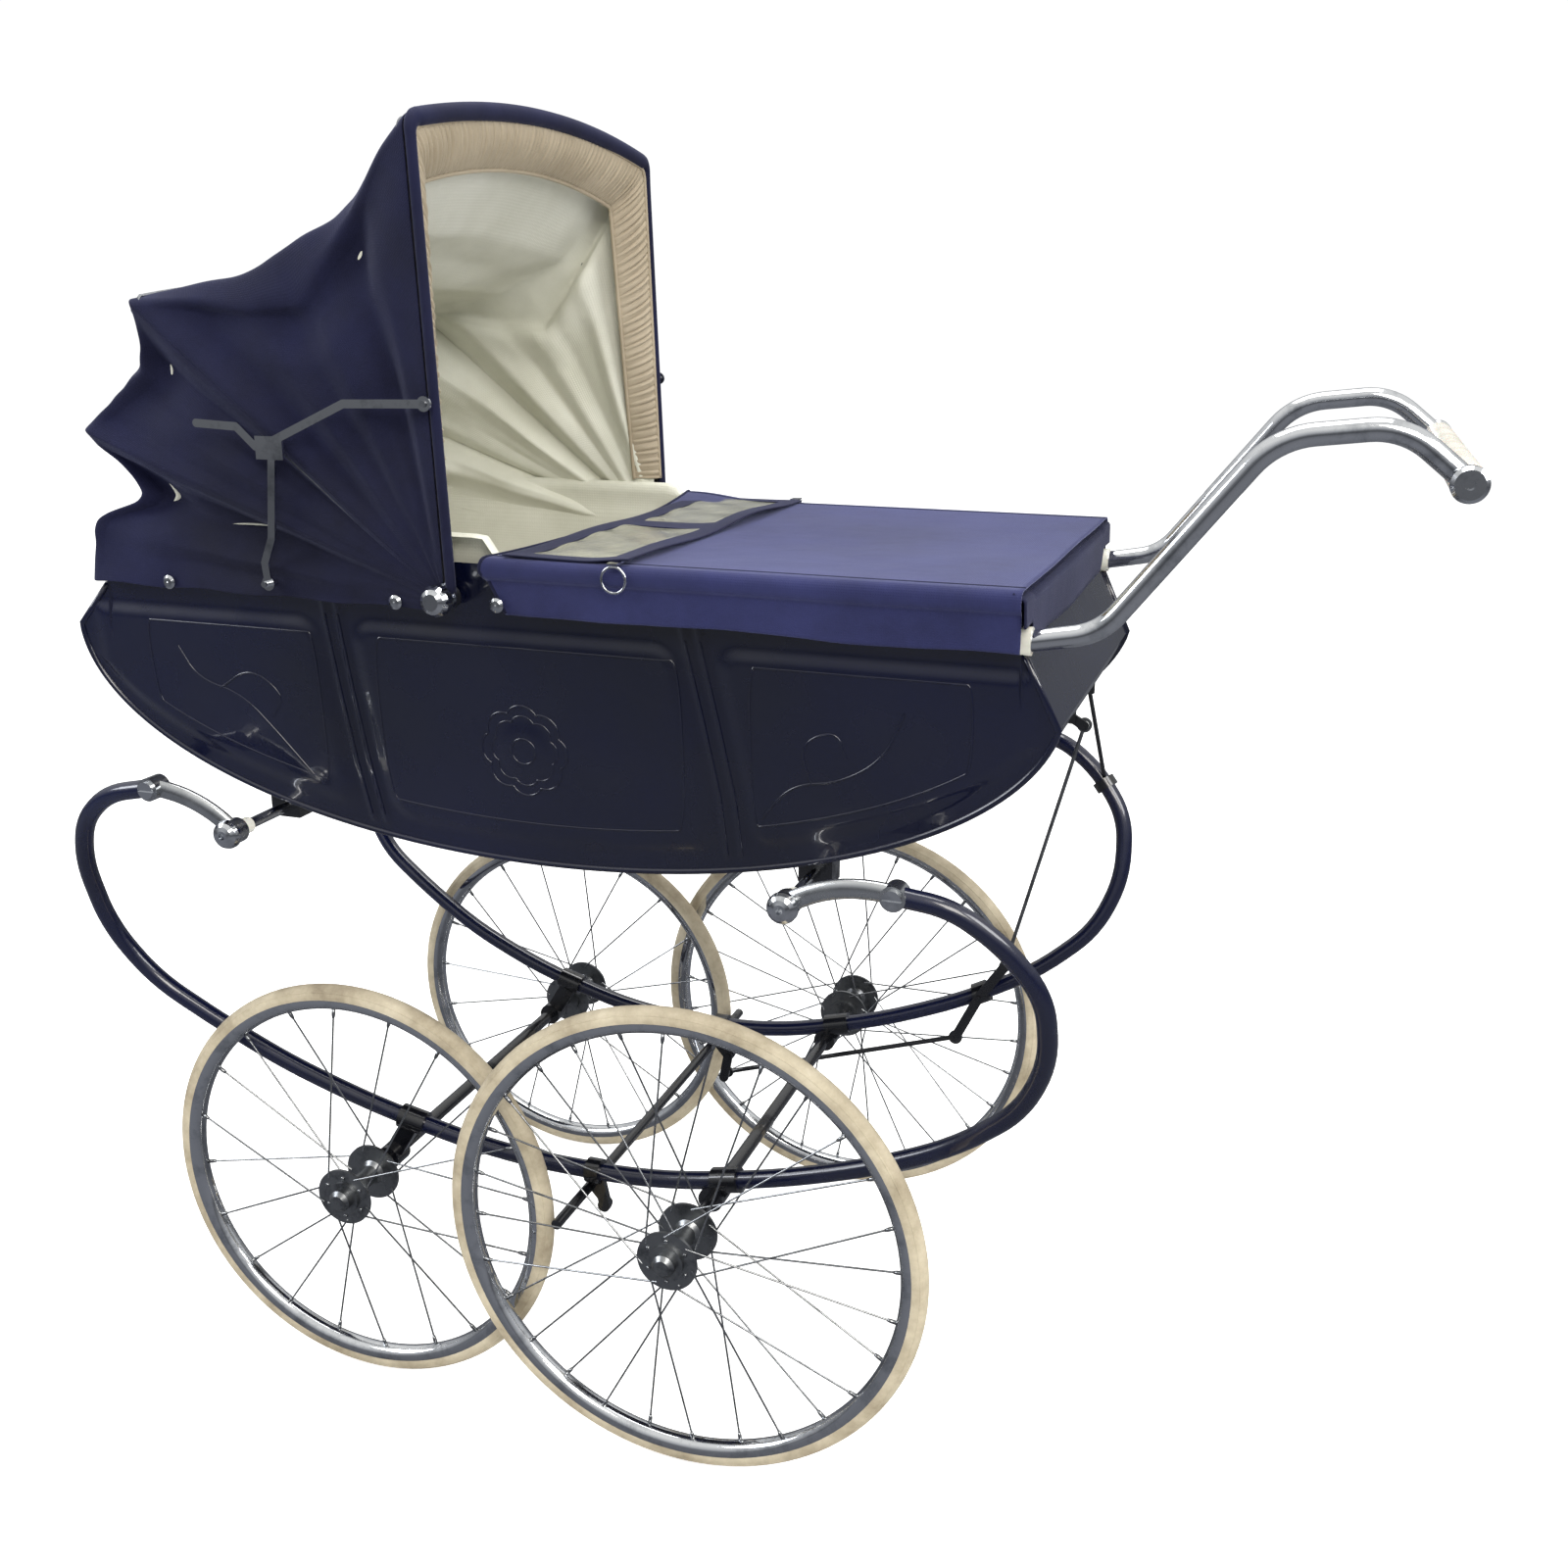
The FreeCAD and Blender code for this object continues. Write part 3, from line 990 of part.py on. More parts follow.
for side, sign in SIDES:
    rings.append(torus("flap_ring_" + side, s.ring_dia / 2, s.ring_wire / 2, flap_x1 - 10,
                       size(sign * (float(s.apron_half) + 3)), s.flap_z - s.ring_dia / 2))
    tab = doc.addObject("Part::Box", "flap_tab_" + side)
    tab.Length, tab.Height, tab.Width = 10, 1.6, 16
    place(tab, flap_x1 - 15, size(sign * (float(s.flap_half) + 6) - 8), s.flap_z + s.cloth + 0.05)
    rings.append(tab)
keep("flap_rings", group("flap_rings", rings))


# ---------------------------------------------------------------- brake
front_tyre_back = ox - float(s.wheelbase) + float(s.front_tyre_od) / 2
bar_x = front_tyre_back + float(s.brake_gap) + float(s.brake_bar_dia) / 2
bar_z = float(s.brake_bar_z)
px, pz = ox + float(s.brake_pivot_x), float(s.brake_pivot_z)
lug_x, lug_z = px - 6, float(s.brake_lug_z)
arm = float(s.brake_arm_thick)
pin_r = float(s.brake_pin_dia) / 2
loose = float(s.run_gap)
gap = float(s.side_gap)
hangers, arm_solids = [], []
bar_half = float(s.front_track_half) + 11
bar_solid = Part.makeCylinder(float(s.brake_bar_dia) / 2, 2 * bar_half, Vector(bar_x, -bar_half, bar_z), ACROSS)
for side, sign in SIDES:
    ring, point = collar("brake_collar_" + side, side, px - 10, 16.0)
    web_y = point.y
    web = strip("brake_web_" + side, px - 6, point.z - 6, px + 1, pz, 12, 7, size(web_y))
    eye = cylinder("brake_eye_" + side, 14, 7, size(px), size(web_y - 3.5), size(pz))
    # the pin carries the swinging arm just inboard of the hanger
    pin_in = abs(web_y) - 3.5 - gap - arm - 2
    pin = cylinder("brake_pin_" + side, s.brake_pin_dia, abs(web_y) + 3.5 - pin_in, size(px),
                   size(pin_in if sign > 0 else -(abs(web_y) + 3.5)), size(pz))
    hangers.append(cut("brake_hanger_" + side, fuse("brake_hanger_blank_" + side, [ring, web, eye, pin]), loops[side]))
    inboard = abs(web_y) - 3.5 - gap                      # arm's outer face
    y0 = inboard - arm if sign > 0 else -inboard
    pieces = bar_chain([(bar_x, bar_z), (px, pz)] + ([(lug_x, lug_z)] if sign > 0 else []), 12.0, y0, arm)
    pieces = pieces.cut(Part.makeCylinder(pin_r + loose, 80, Vector(px, y0 - 30, pz), ACROSS))
    arm_solids.append(pieces)
    if sign > 0:
        lug_face = inboard
link_y = 0.0
crank_pt, crank_dir = at_x(paths["right"], OX + s.crank_x)
crank_z = crank_pt.z
crank_y1 = crank_pt.y - float(s.collar_dia) / 2 - 2.0    # crank plate's outer face
crank_y0 = crank_y1 - arm
link_y0 = max(lug_face, crank_y1) + gap                  # link rod's eyes lie outboard of both plates
lug_pin = Part.makeCylinder(pin_r, link_y0 + arm + 2 - (lug_face - 1), Vector(lug_x, lug_face - 1, lug_z), ACROSS)
keep("brake_bar", coded("brake_bar", bar_solid.multiFuse(arm_solids + [lug_pin])))

cl = (ox + float(s.crank_low_x), float(s.crank_low_z))
ct = (ox + float(s.crank_top_x), float(s.crank_top_z))
cp = (crank_pt.x, crank_z)
crank = bar_chain([cl, cp, ct], 12.0, crank_y0, arm)
crank = crank.cut(Part.makeCylinder(pin_r + loose, 80, Vector(cp[0], crank_y0 - 30, cp[1]), ACROSS))
for cx_, cz_ in (cl, ct):
    crank = crank.fuse(Part.makeCylinder(pin_r, link_y0 + arm + 2 - (crank_y1 - 1), Vector(cx_, crank_y1 - 1, cz_), ACROSS))
keep("brake_crank", coded("brake_crank", crank))


def eye_rod(name, a, b, y0, hole_a, hole_b, dia, eye_a=14.0, eye_b=14.0):
    """A round rod between two flat eyes."""
    mid = y0 + max(arm, dia) / 2        # the rod's inner side lies flush with its eyes
    start, stop = Vector(a[0], mid, a[1]), Vector(b[0], mid, b[1])
    run = (stop - start).Length
    way = (stop - start).normalize()
    solid = Part.makeCylinder(dia / 2, run - eye_a / 2 - eye_b / 2 + 6, start + way * (eye_a / 2 - 3), way)
    for (x, z), hole, eye_dia in ((a, hole_a, eye_a), (b, hole_b, eye_b)):
        solid = solid.fuse(Part.makeCylinder(eye_dia / 2, arm, Vector(x, y0, z), ACROSS))
    for (x, z), hole, eye_dia in ((a, hole_a, eye_a), (b, hole_b, eye_b)):
        solid = solid.cut(Part.makeCylinder(hole / 2, 80, Vector(x, y0 - 40, z), ACROSS))
    return keep(name, coded(name, solid))


tight, slack = 2 * (pin_r + loose), 2 * (pin_r + float(s.open_gap))
eye_rod("brake_link_rod", (lug_x, lug_z), cl, link_y0, tight, slack, float(s.link_dia), 14.0, slack + 6)
yoke = (ox + float(s.yoke_x), float(s.yoke_z))
eye_rod("brake_pull_rod", ct, yoke, link_y0, tight, slack, float(s.link_dia) - 1.5, 14.0, slack + 6)

lv = (ox + float(s.lever_x), float(s.lever_z))
lever_y1 = link_y0 - gap
lever = bar_chain([yoke, lv, (lv[0] - 26, lv[1] - 12)], 11.0, lever_y1 - arm, arm)
lever = lever.cut(Part.makeCylinder(pin_r + loose, 80, Vector(lv[0], lever_y1 - 40, lv[1]), ACROSS))
lever = lever.fuse(Part.makeCylinder(pin_r, link_y0 + arm + 2 - (lever_y1 - 1), Vector(yoke[0], lever_y1 - 1, yoke[1]), ACROSS))
keep("brake_lever", coded("brake_lever", lever))

# fixed brake mounts: the crank's pivot on the loop, the lever's bracket under the body, the stay between
ring, point = collar("crank_collar", "right", OX + s.crank_x, 18.0)
crank_pin = cylinder("crank_pin", s.brake_pin_dia, crank_pt.y - (crank_y0 - 2), size(cp[0]), size(crank_y0 - 2), size(cp[1]))
crank_mount = cut("crank_mount", fuse("crank_mount_blank", [ring, crank_pin]), loops["right"])
lever_in = lever_y1 - arm - gap
bracket = doc.addObject("Part::Box", "lever_bracket_block")
bracket.Length, bracket.Width, bracket.Height = 22, 5, 60
place(bracket, size(lv[0] - 11), size(lever_in - 5), size(lv[1] - 9))
bracket_cut = cut("lever_bracket", bracket, tub_outer)
lever_pin = cylinder("lever_pin", s.brake_pin_dia, size(lever_y1 + 1.5 - (lever_in - 5)), size(lv[0]),
                     size(lever_in - 5), size(lv[1]))
lever_mount = fuse("lever_mount", [bracket_cut, lever_pin])
loop_bolt, _ = at_x(paths["right"], ox + 318, False)
# the stay's upper end meets the body's underside above the yoke, outboard of the pull rod
rise = math.sqrt(1 - ((yoke[0] - ox - float(s.tub_mid_x)) / float(s.tub_half_long)) ** 2)
under = float(s.tub_wide_z) - (float(s.tub_wide_z) - float(s.tub_low_z)) * rise
stay_top = Vector(yoke[0], link_y0 + 10, under)
way = stay_top - loop_bolt
stay_rod = Part.makeCylinder(2.5, way.Length + 12, loop_bolt, way)
foot_disc = Part.makeCylinder(8, 30, stay_top - Vector(0, 0, 12), UP)
stay_blank = cut("brake_stay_blank", coded("brake_stay_rod", stay_rod.fuse(foot_disc)), tub_outer)
stay_ring, _ = collar("brake_stay_collar", "right", OX + s.crank_x, 12.0)
stay_ring.Placement = Placement(loop_bolt - at_x(paths["right"], ox + 318, False)[1] * 6,
                                Rotation(UP, at_x(paths["right"], ox + 318, False)[1]))
stay_whole = fuse("brake_stay_whole", [stay_blank, stay_ring])
stay = cut("brake_stay", stay_whole, loops["right"])
keep("brake_hangers_and_stay", group("brake_hangers_and_stay", hangers + [crank_mount, lever_mount, stay]))


# ---------------------------------------------------------------- check and write
doc.recompute()
for obj in doc.Objects:
    if "Invalid" in obj.State or "Error" in obj.State:
        raise RuntimeError("failed: %s %s" % (obj.Label, obj.State))
low = high = None
for name, obj in parts.items():
    shape = obj.Shape
    if shape.isNull() or not shape.isValid() or not shape.Solids:
        raise RuntimeError("bad shape: " + name)
    for solid in shape.Solids:
        if solid.Volume <= 0:
            raise RuntimeError("inside out: " + name)
    box = shape.BoundBox
    low = Vector(*(min(a, b) for a, b in zip(low or (box.XMin, box.YMin, box.ZMin), (box.XMin, box.YMin, box.ZMin))))
    high = Vector(*(max(a, b) for a, b in zip(high or (box.XMax, box.YMax, box.ZMax), (box.XMax, box.YMax, box.ZMax))))
    shape.exportStep("parts/%s.step" % name)
print("%d pieces, box %s to %s" % (len(parts), low, high))
print("rear axle at x %.3f, crank pivot z %.3f y0 %.3f, link y0 %.3f, lug %.3f %.3f, bar %.3f" % (
    ox, crank_z, crank_y0, link_y0, lug_x, lug_z, bar_x))
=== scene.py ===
"""Looks for the coach-built baby stroller: enamel, chrome, cream rubber, navy canvas and satin."""
import math

import bmesh
import bpy
import numpy as np
from mathutils import Matrix, Vector


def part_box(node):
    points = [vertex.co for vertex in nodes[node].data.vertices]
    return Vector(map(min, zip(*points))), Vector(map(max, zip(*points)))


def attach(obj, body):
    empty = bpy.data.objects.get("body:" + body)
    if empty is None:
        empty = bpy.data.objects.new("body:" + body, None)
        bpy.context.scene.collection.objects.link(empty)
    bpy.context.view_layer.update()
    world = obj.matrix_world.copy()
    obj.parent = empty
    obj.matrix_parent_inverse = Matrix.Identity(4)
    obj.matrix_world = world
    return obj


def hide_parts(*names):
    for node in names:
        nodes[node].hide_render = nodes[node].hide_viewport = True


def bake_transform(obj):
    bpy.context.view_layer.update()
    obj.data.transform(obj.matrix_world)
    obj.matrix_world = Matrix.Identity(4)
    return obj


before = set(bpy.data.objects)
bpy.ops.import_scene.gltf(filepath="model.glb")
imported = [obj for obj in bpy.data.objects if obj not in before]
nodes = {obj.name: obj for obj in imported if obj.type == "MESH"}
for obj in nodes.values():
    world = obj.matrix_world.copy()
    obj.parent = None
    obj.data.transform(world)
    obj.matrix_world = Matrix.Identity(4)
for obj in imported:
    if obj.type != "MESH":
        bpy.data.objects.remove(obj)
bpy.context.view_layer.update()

# ---------------------------------------------------------------- reference places, metres
lo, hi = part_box("rear_axle")
OX = (lo[0] + hi[0]) / 2                       # the rear axle's place along X
lo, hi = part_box("hood_pivot_bolts")
PX, PZ = (lo[0] + hi[0]) / 2, (lo[2] + hi[2]) / 2
TUB_LO, TUB_HI = (np.array(v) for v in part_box("tub_shell"))
CLOTH_HI = np.array(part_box("hood_cloth_front")[1])
APRON_LO, APRON_HI = (np.array(v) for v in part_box("apron_cover"))
FLAP_LO, FLAP_HI = (np.array(v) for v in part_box("storm_flap"))
HALF = CLOTH_HI[1] - 0.0005                    # outer face of the hood's sides
REACH = 0.430                                  # pivot to a bow's corner, over the cloth
ARCH = 0.022
FRONT, MIDDLE, REAR = 92.3, 141.1, 160.3       # the bows' angles, degrees


# ---------------------------------------------------------------- small tools
def srgb(code, alpha=1.0):
    """A hex colour as linear RGBA."""
    value = [int(code[i:i + 2], 16) / 255 for i in (0, 2, 4)]
    return tuple(v / 12.92 if v <= 0.04045 else ((v + 0.055) / 1.055) ** 2.4 for v in value) + (alpha,)


def smooth(a, b, x):
    t = np.clip((x - a) / (b - a), 0, 1)
    return t * t * (3 - 2 * t)


def add_mesh(name, verts, faces, material, uvs=None, flat=False):
    mesh = bpy.data.meshes.new(name)
    mesh.from_pydata([tuple(map(float, v)) for v in verts], [], [tuple(map(int, f)) for f in faces])
    mesh.validate()
    if not flat:
        mesh.polygons.foreach_set("use_smooth", [True] * len(mesh.polygons))
    if uvs is not None:
        layer = mesh.uv_layers.new(name="UVMap")
        index = np.empty(len(mesh.loops), int)
        mesh.loops.foreach_get("vertex_index", index)
        layer.data.foreach_set("uv", np.asarray(uvs, float)[index].ravel())
    mesh.update()
    obj = bpy.data.objects.new(name, mesh)
    bpy.context.scene.collection.objects.link(obj)
    mesh.materials.append(material)
    return obj


def grid(name, points, material, wrap=False, flip=False):
    """A sheet through an array of points [rows, columns, 3], with UVs in metres."""
    rows, cols = points.shape[:2]
    verts = points.reshape(-1, 3)
    faces = []
    for i in range(rows - 1):
        for j in range(cols - (0 if wrap else 1)):
            k = (j + 1) % cols
            quad = (i * cols + j, i * cols + k, (i + 1) * cols + k, (i + 1) * cols + j)
            faces.append(quad[::-1] if flip else quad)
    du = np.linalg.norm(np.diff(points, axis=1), axis=2).mean(axis=0)
    dv = np.linalg.norm(np.diff(points, axis=0), axis=2).mean(axis=1)
    u, v = np.concatenate([[0], np.cumsum(du)]), np.concatenate([[0], np.cumsum(dv)])
    uv = np.stack(np.meshgrid(u, v), axis=-1).reshape(-1, 2)
    return add_mesh(name, verts, faces, material, uv)


def sweep(name, path, section, material, closed=False, up=(0, 0, 1), scale=None):
    """A closed section (list of (across, up) offsets) carried along a path of points."""
    path = np.asarray(path, float)
    ahead = np.gradient(path, axis=0)
    if closed:
        ahead = np.roll(path, -1, axis=0) - np.roll(path, 1, axis=0)
    ahead /= np.linalg.norm(ahead, axis=1)[:, None]
    ups = np.broadcast_to(np.asarray(up, float), path.shape)
    side = np.cross(ahead, ups)
    side /= np.linalg.norm(side, axis=1)[:, None]
    top = np.cross(side, ahead)
    section = np.asarray(section, float)
    k = np.ones(len(path)) if scale is None else scale
    rings = path[:, None] + k[:, None, None] * (
        side[:, None] * section[None, :, :1] + top[:, None] * section[None, :, 1:])
    n, m = len(path), len(section)
    faces = []
    for i in range(n if closed else n - 1):
        for j in range(m):
            a, b = i * m + j, i * m + (j + 1) % m
            c, d = ((i + 1) % n) * m + (j + 1) % m, ((i + 1) % n) * m + j
            faces.append((a, b, c, d))
    if not closed:
        faces += [tuple(range(m))[::-1], tuple((n - 1) * m + j for j in range(m))]
    return add_mesh(name, rings.reshape(-1, 3), faces, material)


def circle(radius, count=12, squash=1.0):
    return [(radius * math.cos(2 * math.pi * i / count), squash * radius * math.sin(2 * math.pi * i / count))
            for i in range(count)]


def waves(x, y, seed, count=7, low=2.0, high=14.0):
    """Soft seeded noise from a few crossed sine waves, about -1 to 1."""
    r = np.random.default_rng(seed)
    total = 0.0
    for _ in range(count):
        f = r.uniform(low, high)
        a = r.uniform(0, math.pi)
        total = total + np.sin(2 * math.pi * f * (x * math.cos(a) + y * math.sin(a)) + r.uniform(0, 6.28)) / f
    return total * low / math.sqrt(count) * 1.6


def solidify(obj, thickness, offset=-1.0):
    mod = obj.modifiers.new("thick", "SOLIDIFY")
    mod.thickness, mod.offset = thickness, offset
    bpy.context.view_layer.objects.active = obj
    bpy.context.view_layer.update()
    done = bpy.data.meshes.new_from_object(obj.evaluated_get(bpy.context.evaluated_depsgraph_get()))
    obj.modifiers.clear()
    obj.data = done
    return obj


# ---------------------------------------------------------------- materials
def material(name, colour, rough=0.5, metal=0.0, **extra):
    mat = bpy.data.materials.new(name)
    mat.use_nodes = True
    tree = mat.node_tree
    shader = tree.nodes["Principled BSDF"]
    shader.inputs["Base Color"].default_value = colour
    shader.inputs["Roughness"].default_value = rough
    shader.inputs["Metallic"].default_value = metal
    for key, value in extra.items():
        shader.inputs[key.replace("_", " ")].default_value = value
    return mat, tree, shader


def noise(tree, scale, detail=3.0, coords="Object", rough=0.5):
    where = tree.nodes.new("ShaderNodeTexCoord")
    tex = tree.nodes.new("ShaderNodeTexNoise")
    tex.inputs["Scale"].default_value = scale
    tex.inputs["Detail"].default_value = detail
    tex.inputs["Roughness"].default_value = rough
    tree.links.new(where.outputs[coords], tex.inputs["Vector"])
    return tex.outputs["Fac"]


def ramp(tree, value, stops):
    node = tree.nodes.new("ShaderNodeValToRGB")
    while len(node.color_ramp.elements) < len(stops):
        node.color_ramp.elements.new(0.5)
    for element, (place, colour) in zip(node.color_ramp.elements, stops):
        element.position, element.color = place, colour
    tree.links.new(value, node.inputs["Fac"])
    return node.outputs["Color"]


def to_range(tree, value, low, high, a=0.3, b=0.7):
    node = tree.nodes.new("ShaderNodeMapRange")
    for key, v in (("From Min", a), ("From Max", b), ("To Min", low), ("To Max", high)):
        node.inputs[key].default_value = v
    tree.links.new(value, node.inputs["Value"])
    return node.outputs["Result"]


def bump(tree, shader, height, strength, distance, under=None, coat=False):
    node = tree.nodes.new("ShaderNodeBump")
    node.inputs["Strength"].default_value = strength
    node.inputs["Distance"].default_value = distance
    tree.links.new(height, node.inputs["Height"])
    if under is not None:
        tree.links.new(under, node.inputs["Normal"])
    tree.links.new(node.outputs["Normal"], shader.inputs["Normal"])
    if coat:
        tree.links.new(node.outputs["Normal"], shader.inputs["Coat Normal"])
    return node.outputs["Normal"]


def weave(tree, pitch):
    """Crossed threads from the piece's UVs, in metres."""
    where = tree.nodes.new("ShaderNodeTexCoord")
    outs = []
    for direction in ("X", "Y"):
        wave = tree.nodes.new("ShaderNodeTexWave")
        wave.wave_type, wave.bands_direction = "BANDS", direction
        wave.inputs["Scale"].default_value = 1.0 / pitch / 3.1416 / 2
        wave.inputs["Distortion"].default_value = 0.4
        wave.inputs["Detail Scale"].default_value = 2.0
        tree.links.new(where.outputs["UV"], wave.inputs["Vector"])
        outs.append(wave.outputs["Fac"])
    mix = tree.nodes.new("ShaderNodeMath")
    mix.operation = "MULTIPLY"
    tree.links.new(outs[0], mix.inputs[0])
    tree.links.new(outs[1], mix.inputs[1])
    return mix.outputs["Value"]


def enamel(name, dark, light):
    """Gloss paint with a clear coat and slight unevenness."""
    mat, tree, shader = material(name, srgb(dark), 0.22, Coat_Weight=1.0, Coat_Roughness=0.04,
                                 Specular_IOR_Level=0.5)
    tree.links.new(ramp(tree, noise(tree, 3.0, 2.0), [(0.3, srgb(dark)), (0.7, srgb(light))]),
                   shader.inputs["Base Color"])
    tree.links.new(to_range(tree, noise(tree, 14.0, 6.0), 0.16, 0.34), shader.inputs["Roughness"])
    bump(tree, shader, noise(tree, 60.0, 2.0), 0.12, 0.0006, coat=True)
    return mat


def chrome_like(name, dark, light, low, high, scale=30.0):
    mat, tree, shader = material(name, srgb(light), 0.1, 1.0)
    tree.links.new(ramp(tree, noise(tree, scale, 6.0, rough=0.7), [(0.32, srgb(dark)), (0.5, srgb(light))]),
                   shader.inputs["Base Color"])
    tree.links.new(to_range(tree, noise(tree, scale * 1.6, 8.0, rough=0.7), low, high), shader.inputs["Roughness"])
    bump(tree, shader, noise(tree, 220.0, 3.0), 0.06, 0.0003)
    return mat


def cloth_material(name, dark, light, pitch, rough=0.85, sheen=0.25, tint="8090c0"):
    mat, tree, shader = material(name, srgb(light), rough, Sheen_Weight=sheen, Sheen_Roughness=0.4,
                                 Sheen_Tint=srgb(tint), Specular_IOR_Level=0.25)
    tree.links.new(ramp(tree, noise(tree, 5.0, 6.0, rough=0.65), [(0.3, srgb(dark)), (0.68, srgb(light))]),
                   shader.inputs["Base Color"])
    tree.links.new(to_range(tree, noise(tree, 9.0, 4.0), rough - 0.08, rough + 0.06), shader.inputs["Roughness"])
    creases = bump(tree, shader, noise(tree, 26.0, 5.0), 0.35, 0.002)
    bump(tree, shader, weave(tree, pitch), 0.5, 0.0004, under=creases)
    return mat


# stove enamel on sheet steel: near-black navy under a hard clear gloss with faint orange peel
NAVY_ENAMEL = enamel("navy_enamel_gloss", "040718", "070c2a")
LOOP_ENAMEL = enamel("loop_enamel_gloss", "070b22", "0d1436")
# black enamel of the running gear
BLACK_ENAMEL = enamel("black_enamel_gloss", "08090d", "121319")
# chrome plate: sharp reflections with a little haze and wear
CHROME = chrome_like("chrome_plate", "b9bcc0", "e4e6e9", 0.04, 0.14)
# polished cast alloy: softer and paler than plate
ALLOY = chrome_like("cast_alloy", "a9abad", "cfd1d2", 0.16, 0.32, 18.0)
# worn plated steel of the hubs and spokes: grey, with broad highlights
HUB_STEEL = chrome_like("dull_steel", "5e6063", "929496", 0.22, 0.45, 40.0)
SPOKE_STEEL = chrome_like("spoke_steel", "77797b", "a6a8aa", 0.15, 0.3, 50.0)
# bare spring steel of the hood bows
BOW_STEEL = chrome_like("bow_steel", "6a6c70", "8c8e92", 0.3, 0.45, 25.0)
# cotton duck, plain weave; the threads are drawn coarser than real so that they show
CANVAS = cloth_material("navy_canvas_weave", "0b0d22", "15183a", 0.0011, 0.82, 0.22, "a4a8cc")
# the apron's copy of the navy canvas has lighter colours: a painted highlight for the light falling on the cover's top,
# while the same cloth elsewhere keeps the darker canvas
APRON_LIT_CANVAS = cloth_material("apron_canvas_lit_weave", "1b1e40", "2a2e5c", 0.0011, 0.8, 0.5, "b4b8e0")
# cream satin of the frill: tight threads with a soft shine
SATIN = cloth_material("cream_satin_cloth", "978a74", "b8ab95", 0.0007, 0.42, 0.3, "fff4dc")
# cream coated fabric of the linings: nearly smooth, half matt
VINYL = cloth_material("cream_vinyl_coat", "cfcfbf", "e6e6da", 0.0016, 0.5, 0.1, "ffffff")
# cotton ticking of the mattress
TICKING = cloth_material("cotton_ticking", "c9c4b4", "e8e4d8", 0.0012, 0.85, 0.2, "ffffff")


def tyre_material():
    """Aged cream rubber: matt, mottled with dirt."""
    mat, tree, shader = material("cream_rubber", srgb("c9b48a"), 0.72, Specular_IOR_Level=0.3)
    tree.links.new(ramp(tree, noise(tree, 16.0, 8.0, rough=0.7), [
        (0.25, srgb("857a66")), (0.42, srgb("ab9f88")), (0.62, srgb("c9bea6")), (0.8, srgb("dfd6c4"))]),
        shader.inputs["Base Color"])
    tree.links.new(to_range(tree, noise(tree, 40.0, 6.0), 0.6, 0.85), shader.inputs["Roughness"])
    bump(tree, shader, noise(tree, 130.0, 6.0), 0.35, 0.0008)
    return mat


def plastic(name, dark, light, rough=0.35):
    """Moulded plastic with faint mottling, or plain board when rougher."""
    mat, tree, shader = material(name, srgb(light), rough, Coat_Weight=0.2, Subsurface_Weight=0.05)
    tree.links.new(ramp(tree, noise(tree, 22.0, 5.0), [(0.3, srgb(dark)), (0.6, srgb(light))]),
                   shader.inputs["Base Color"])
    bump(tree, shader, noise(tree, 180.0, 3.0), 0.1, 0.0004)
    return mat


def clear_sheet():
    """Thin clear vinyl, yellowed and rippled, partly see-through."""
    mat, tree, shader = material("clear_vinyl_sheet", srgb("b9b9a8"), 0.16, Alpha=0.45, Specular_IOR_Level=0.7)
    tree.links.new(to_range(tree, noise(tree, 30.0, 5.0), 0.3, 0.62), shader.inputs["Alpha"])
    bump(tree, shader, noise(tree, 38.0, 4.0), 0.6, 0.003)
    return mat


TYRE = tyre_material()
NYLON = plastic("white_nylon_plastic", "cfcbbf", "eae7dd")
GRIP = plastic("cream_grip_plastic", "d3ccbb", "efeadf", 0.25)
WOOD = plastic("plain_board", "8a6b45", "b08d62", 0.6)
CLEAR = clear_sheet()

for node, mat in {
    "side_loop_left": LOOP_ENAMEL, "side_loop_right": LOOP_ENAMEL, "axle_brackets": BLACK_ENAMEL,
    "front_axle": BLACK_ENAMEL, "rear_axle": BLACK_ENAMEL, "hanger_arms": ALLOY,
    "hanger_screws_and_caps": CHROME, "cross_rods": CHROME, "cross_rod_bushes": NYLON,
    "body_saddles": BLACK_ENAMEL, "brake_hangers_and_stay": BLACK_ENAMEL, "floor_board": WOOD,
    "handle_tubes": CHROME, "handle_end_caps": CHROME, "handle_sockets": NYLON, "handle_grip": GRIP,
    "studs_and_stay_posts": CHROME, "harness_rings": CHROME, "hood_pivot_bolts": CHROME,
    "rear_bow": BOW_STEEL, "middle_bow": BOW_STEEL, "front_bow": BOW_STEEL,
    "stay_upper_left": CHROME, "stay_upper_right": CHROME, "stay_lower_left": CHROME,
    "stay_lower_right": CHROME, "hood_knob_left": CHROME, "hood_knob_right": CHROME, "flap_rings": CHROME,
    "brake_bar": BLACK_ENAMEL, "brake_link_rod": BLACK_ENAMEL, "brake_crank": BLACK_ENAMEL,
    "brake_pull_rod": HUB_STEEL, "brake_lever": BLACK_ENAMEL}.items():
    for slot in nodes[node].material_slots:
        slot.material = mat
WHEELS = [(end, side) for end in ("front", "rear") for side in ("left", "right")]
for end, side in WHEELS:
    for kind, mat in (("tyre", TYRE), ("rim", CHROME), ("spokes", SPOKE_STEEL), ("hub", HUB_STEEL)):
        for slot in nodes["%s_%s_%s" % (kind, end, side)].material_slots:
            slot.material = mat


# ---------------------------------------------------------------- body shell with pressed panels
MID_X, HALF_LONG, WIDE_Z = OX - 0.178, 0.519, 0.821
LOW_Z, RIM_Z = TUB_LO[2], TUB_HI[2]
NOSE_X, TAIL_X = OX - 0.655, OX + 0.302
TIP_Z = 0.795


def half_width(z):
    return 0.224 + (0.250 - 0.224) * (z - LOW_Z) / (RIM_Z - LOW_Z)


def belly_z(x):
    return WIDE_Z - (WIDE_Z - LOW_Z) * np.sqrt(np.clip(1 - ((x - MID_X) / HALF_LONG) ** 2, 0, 1))


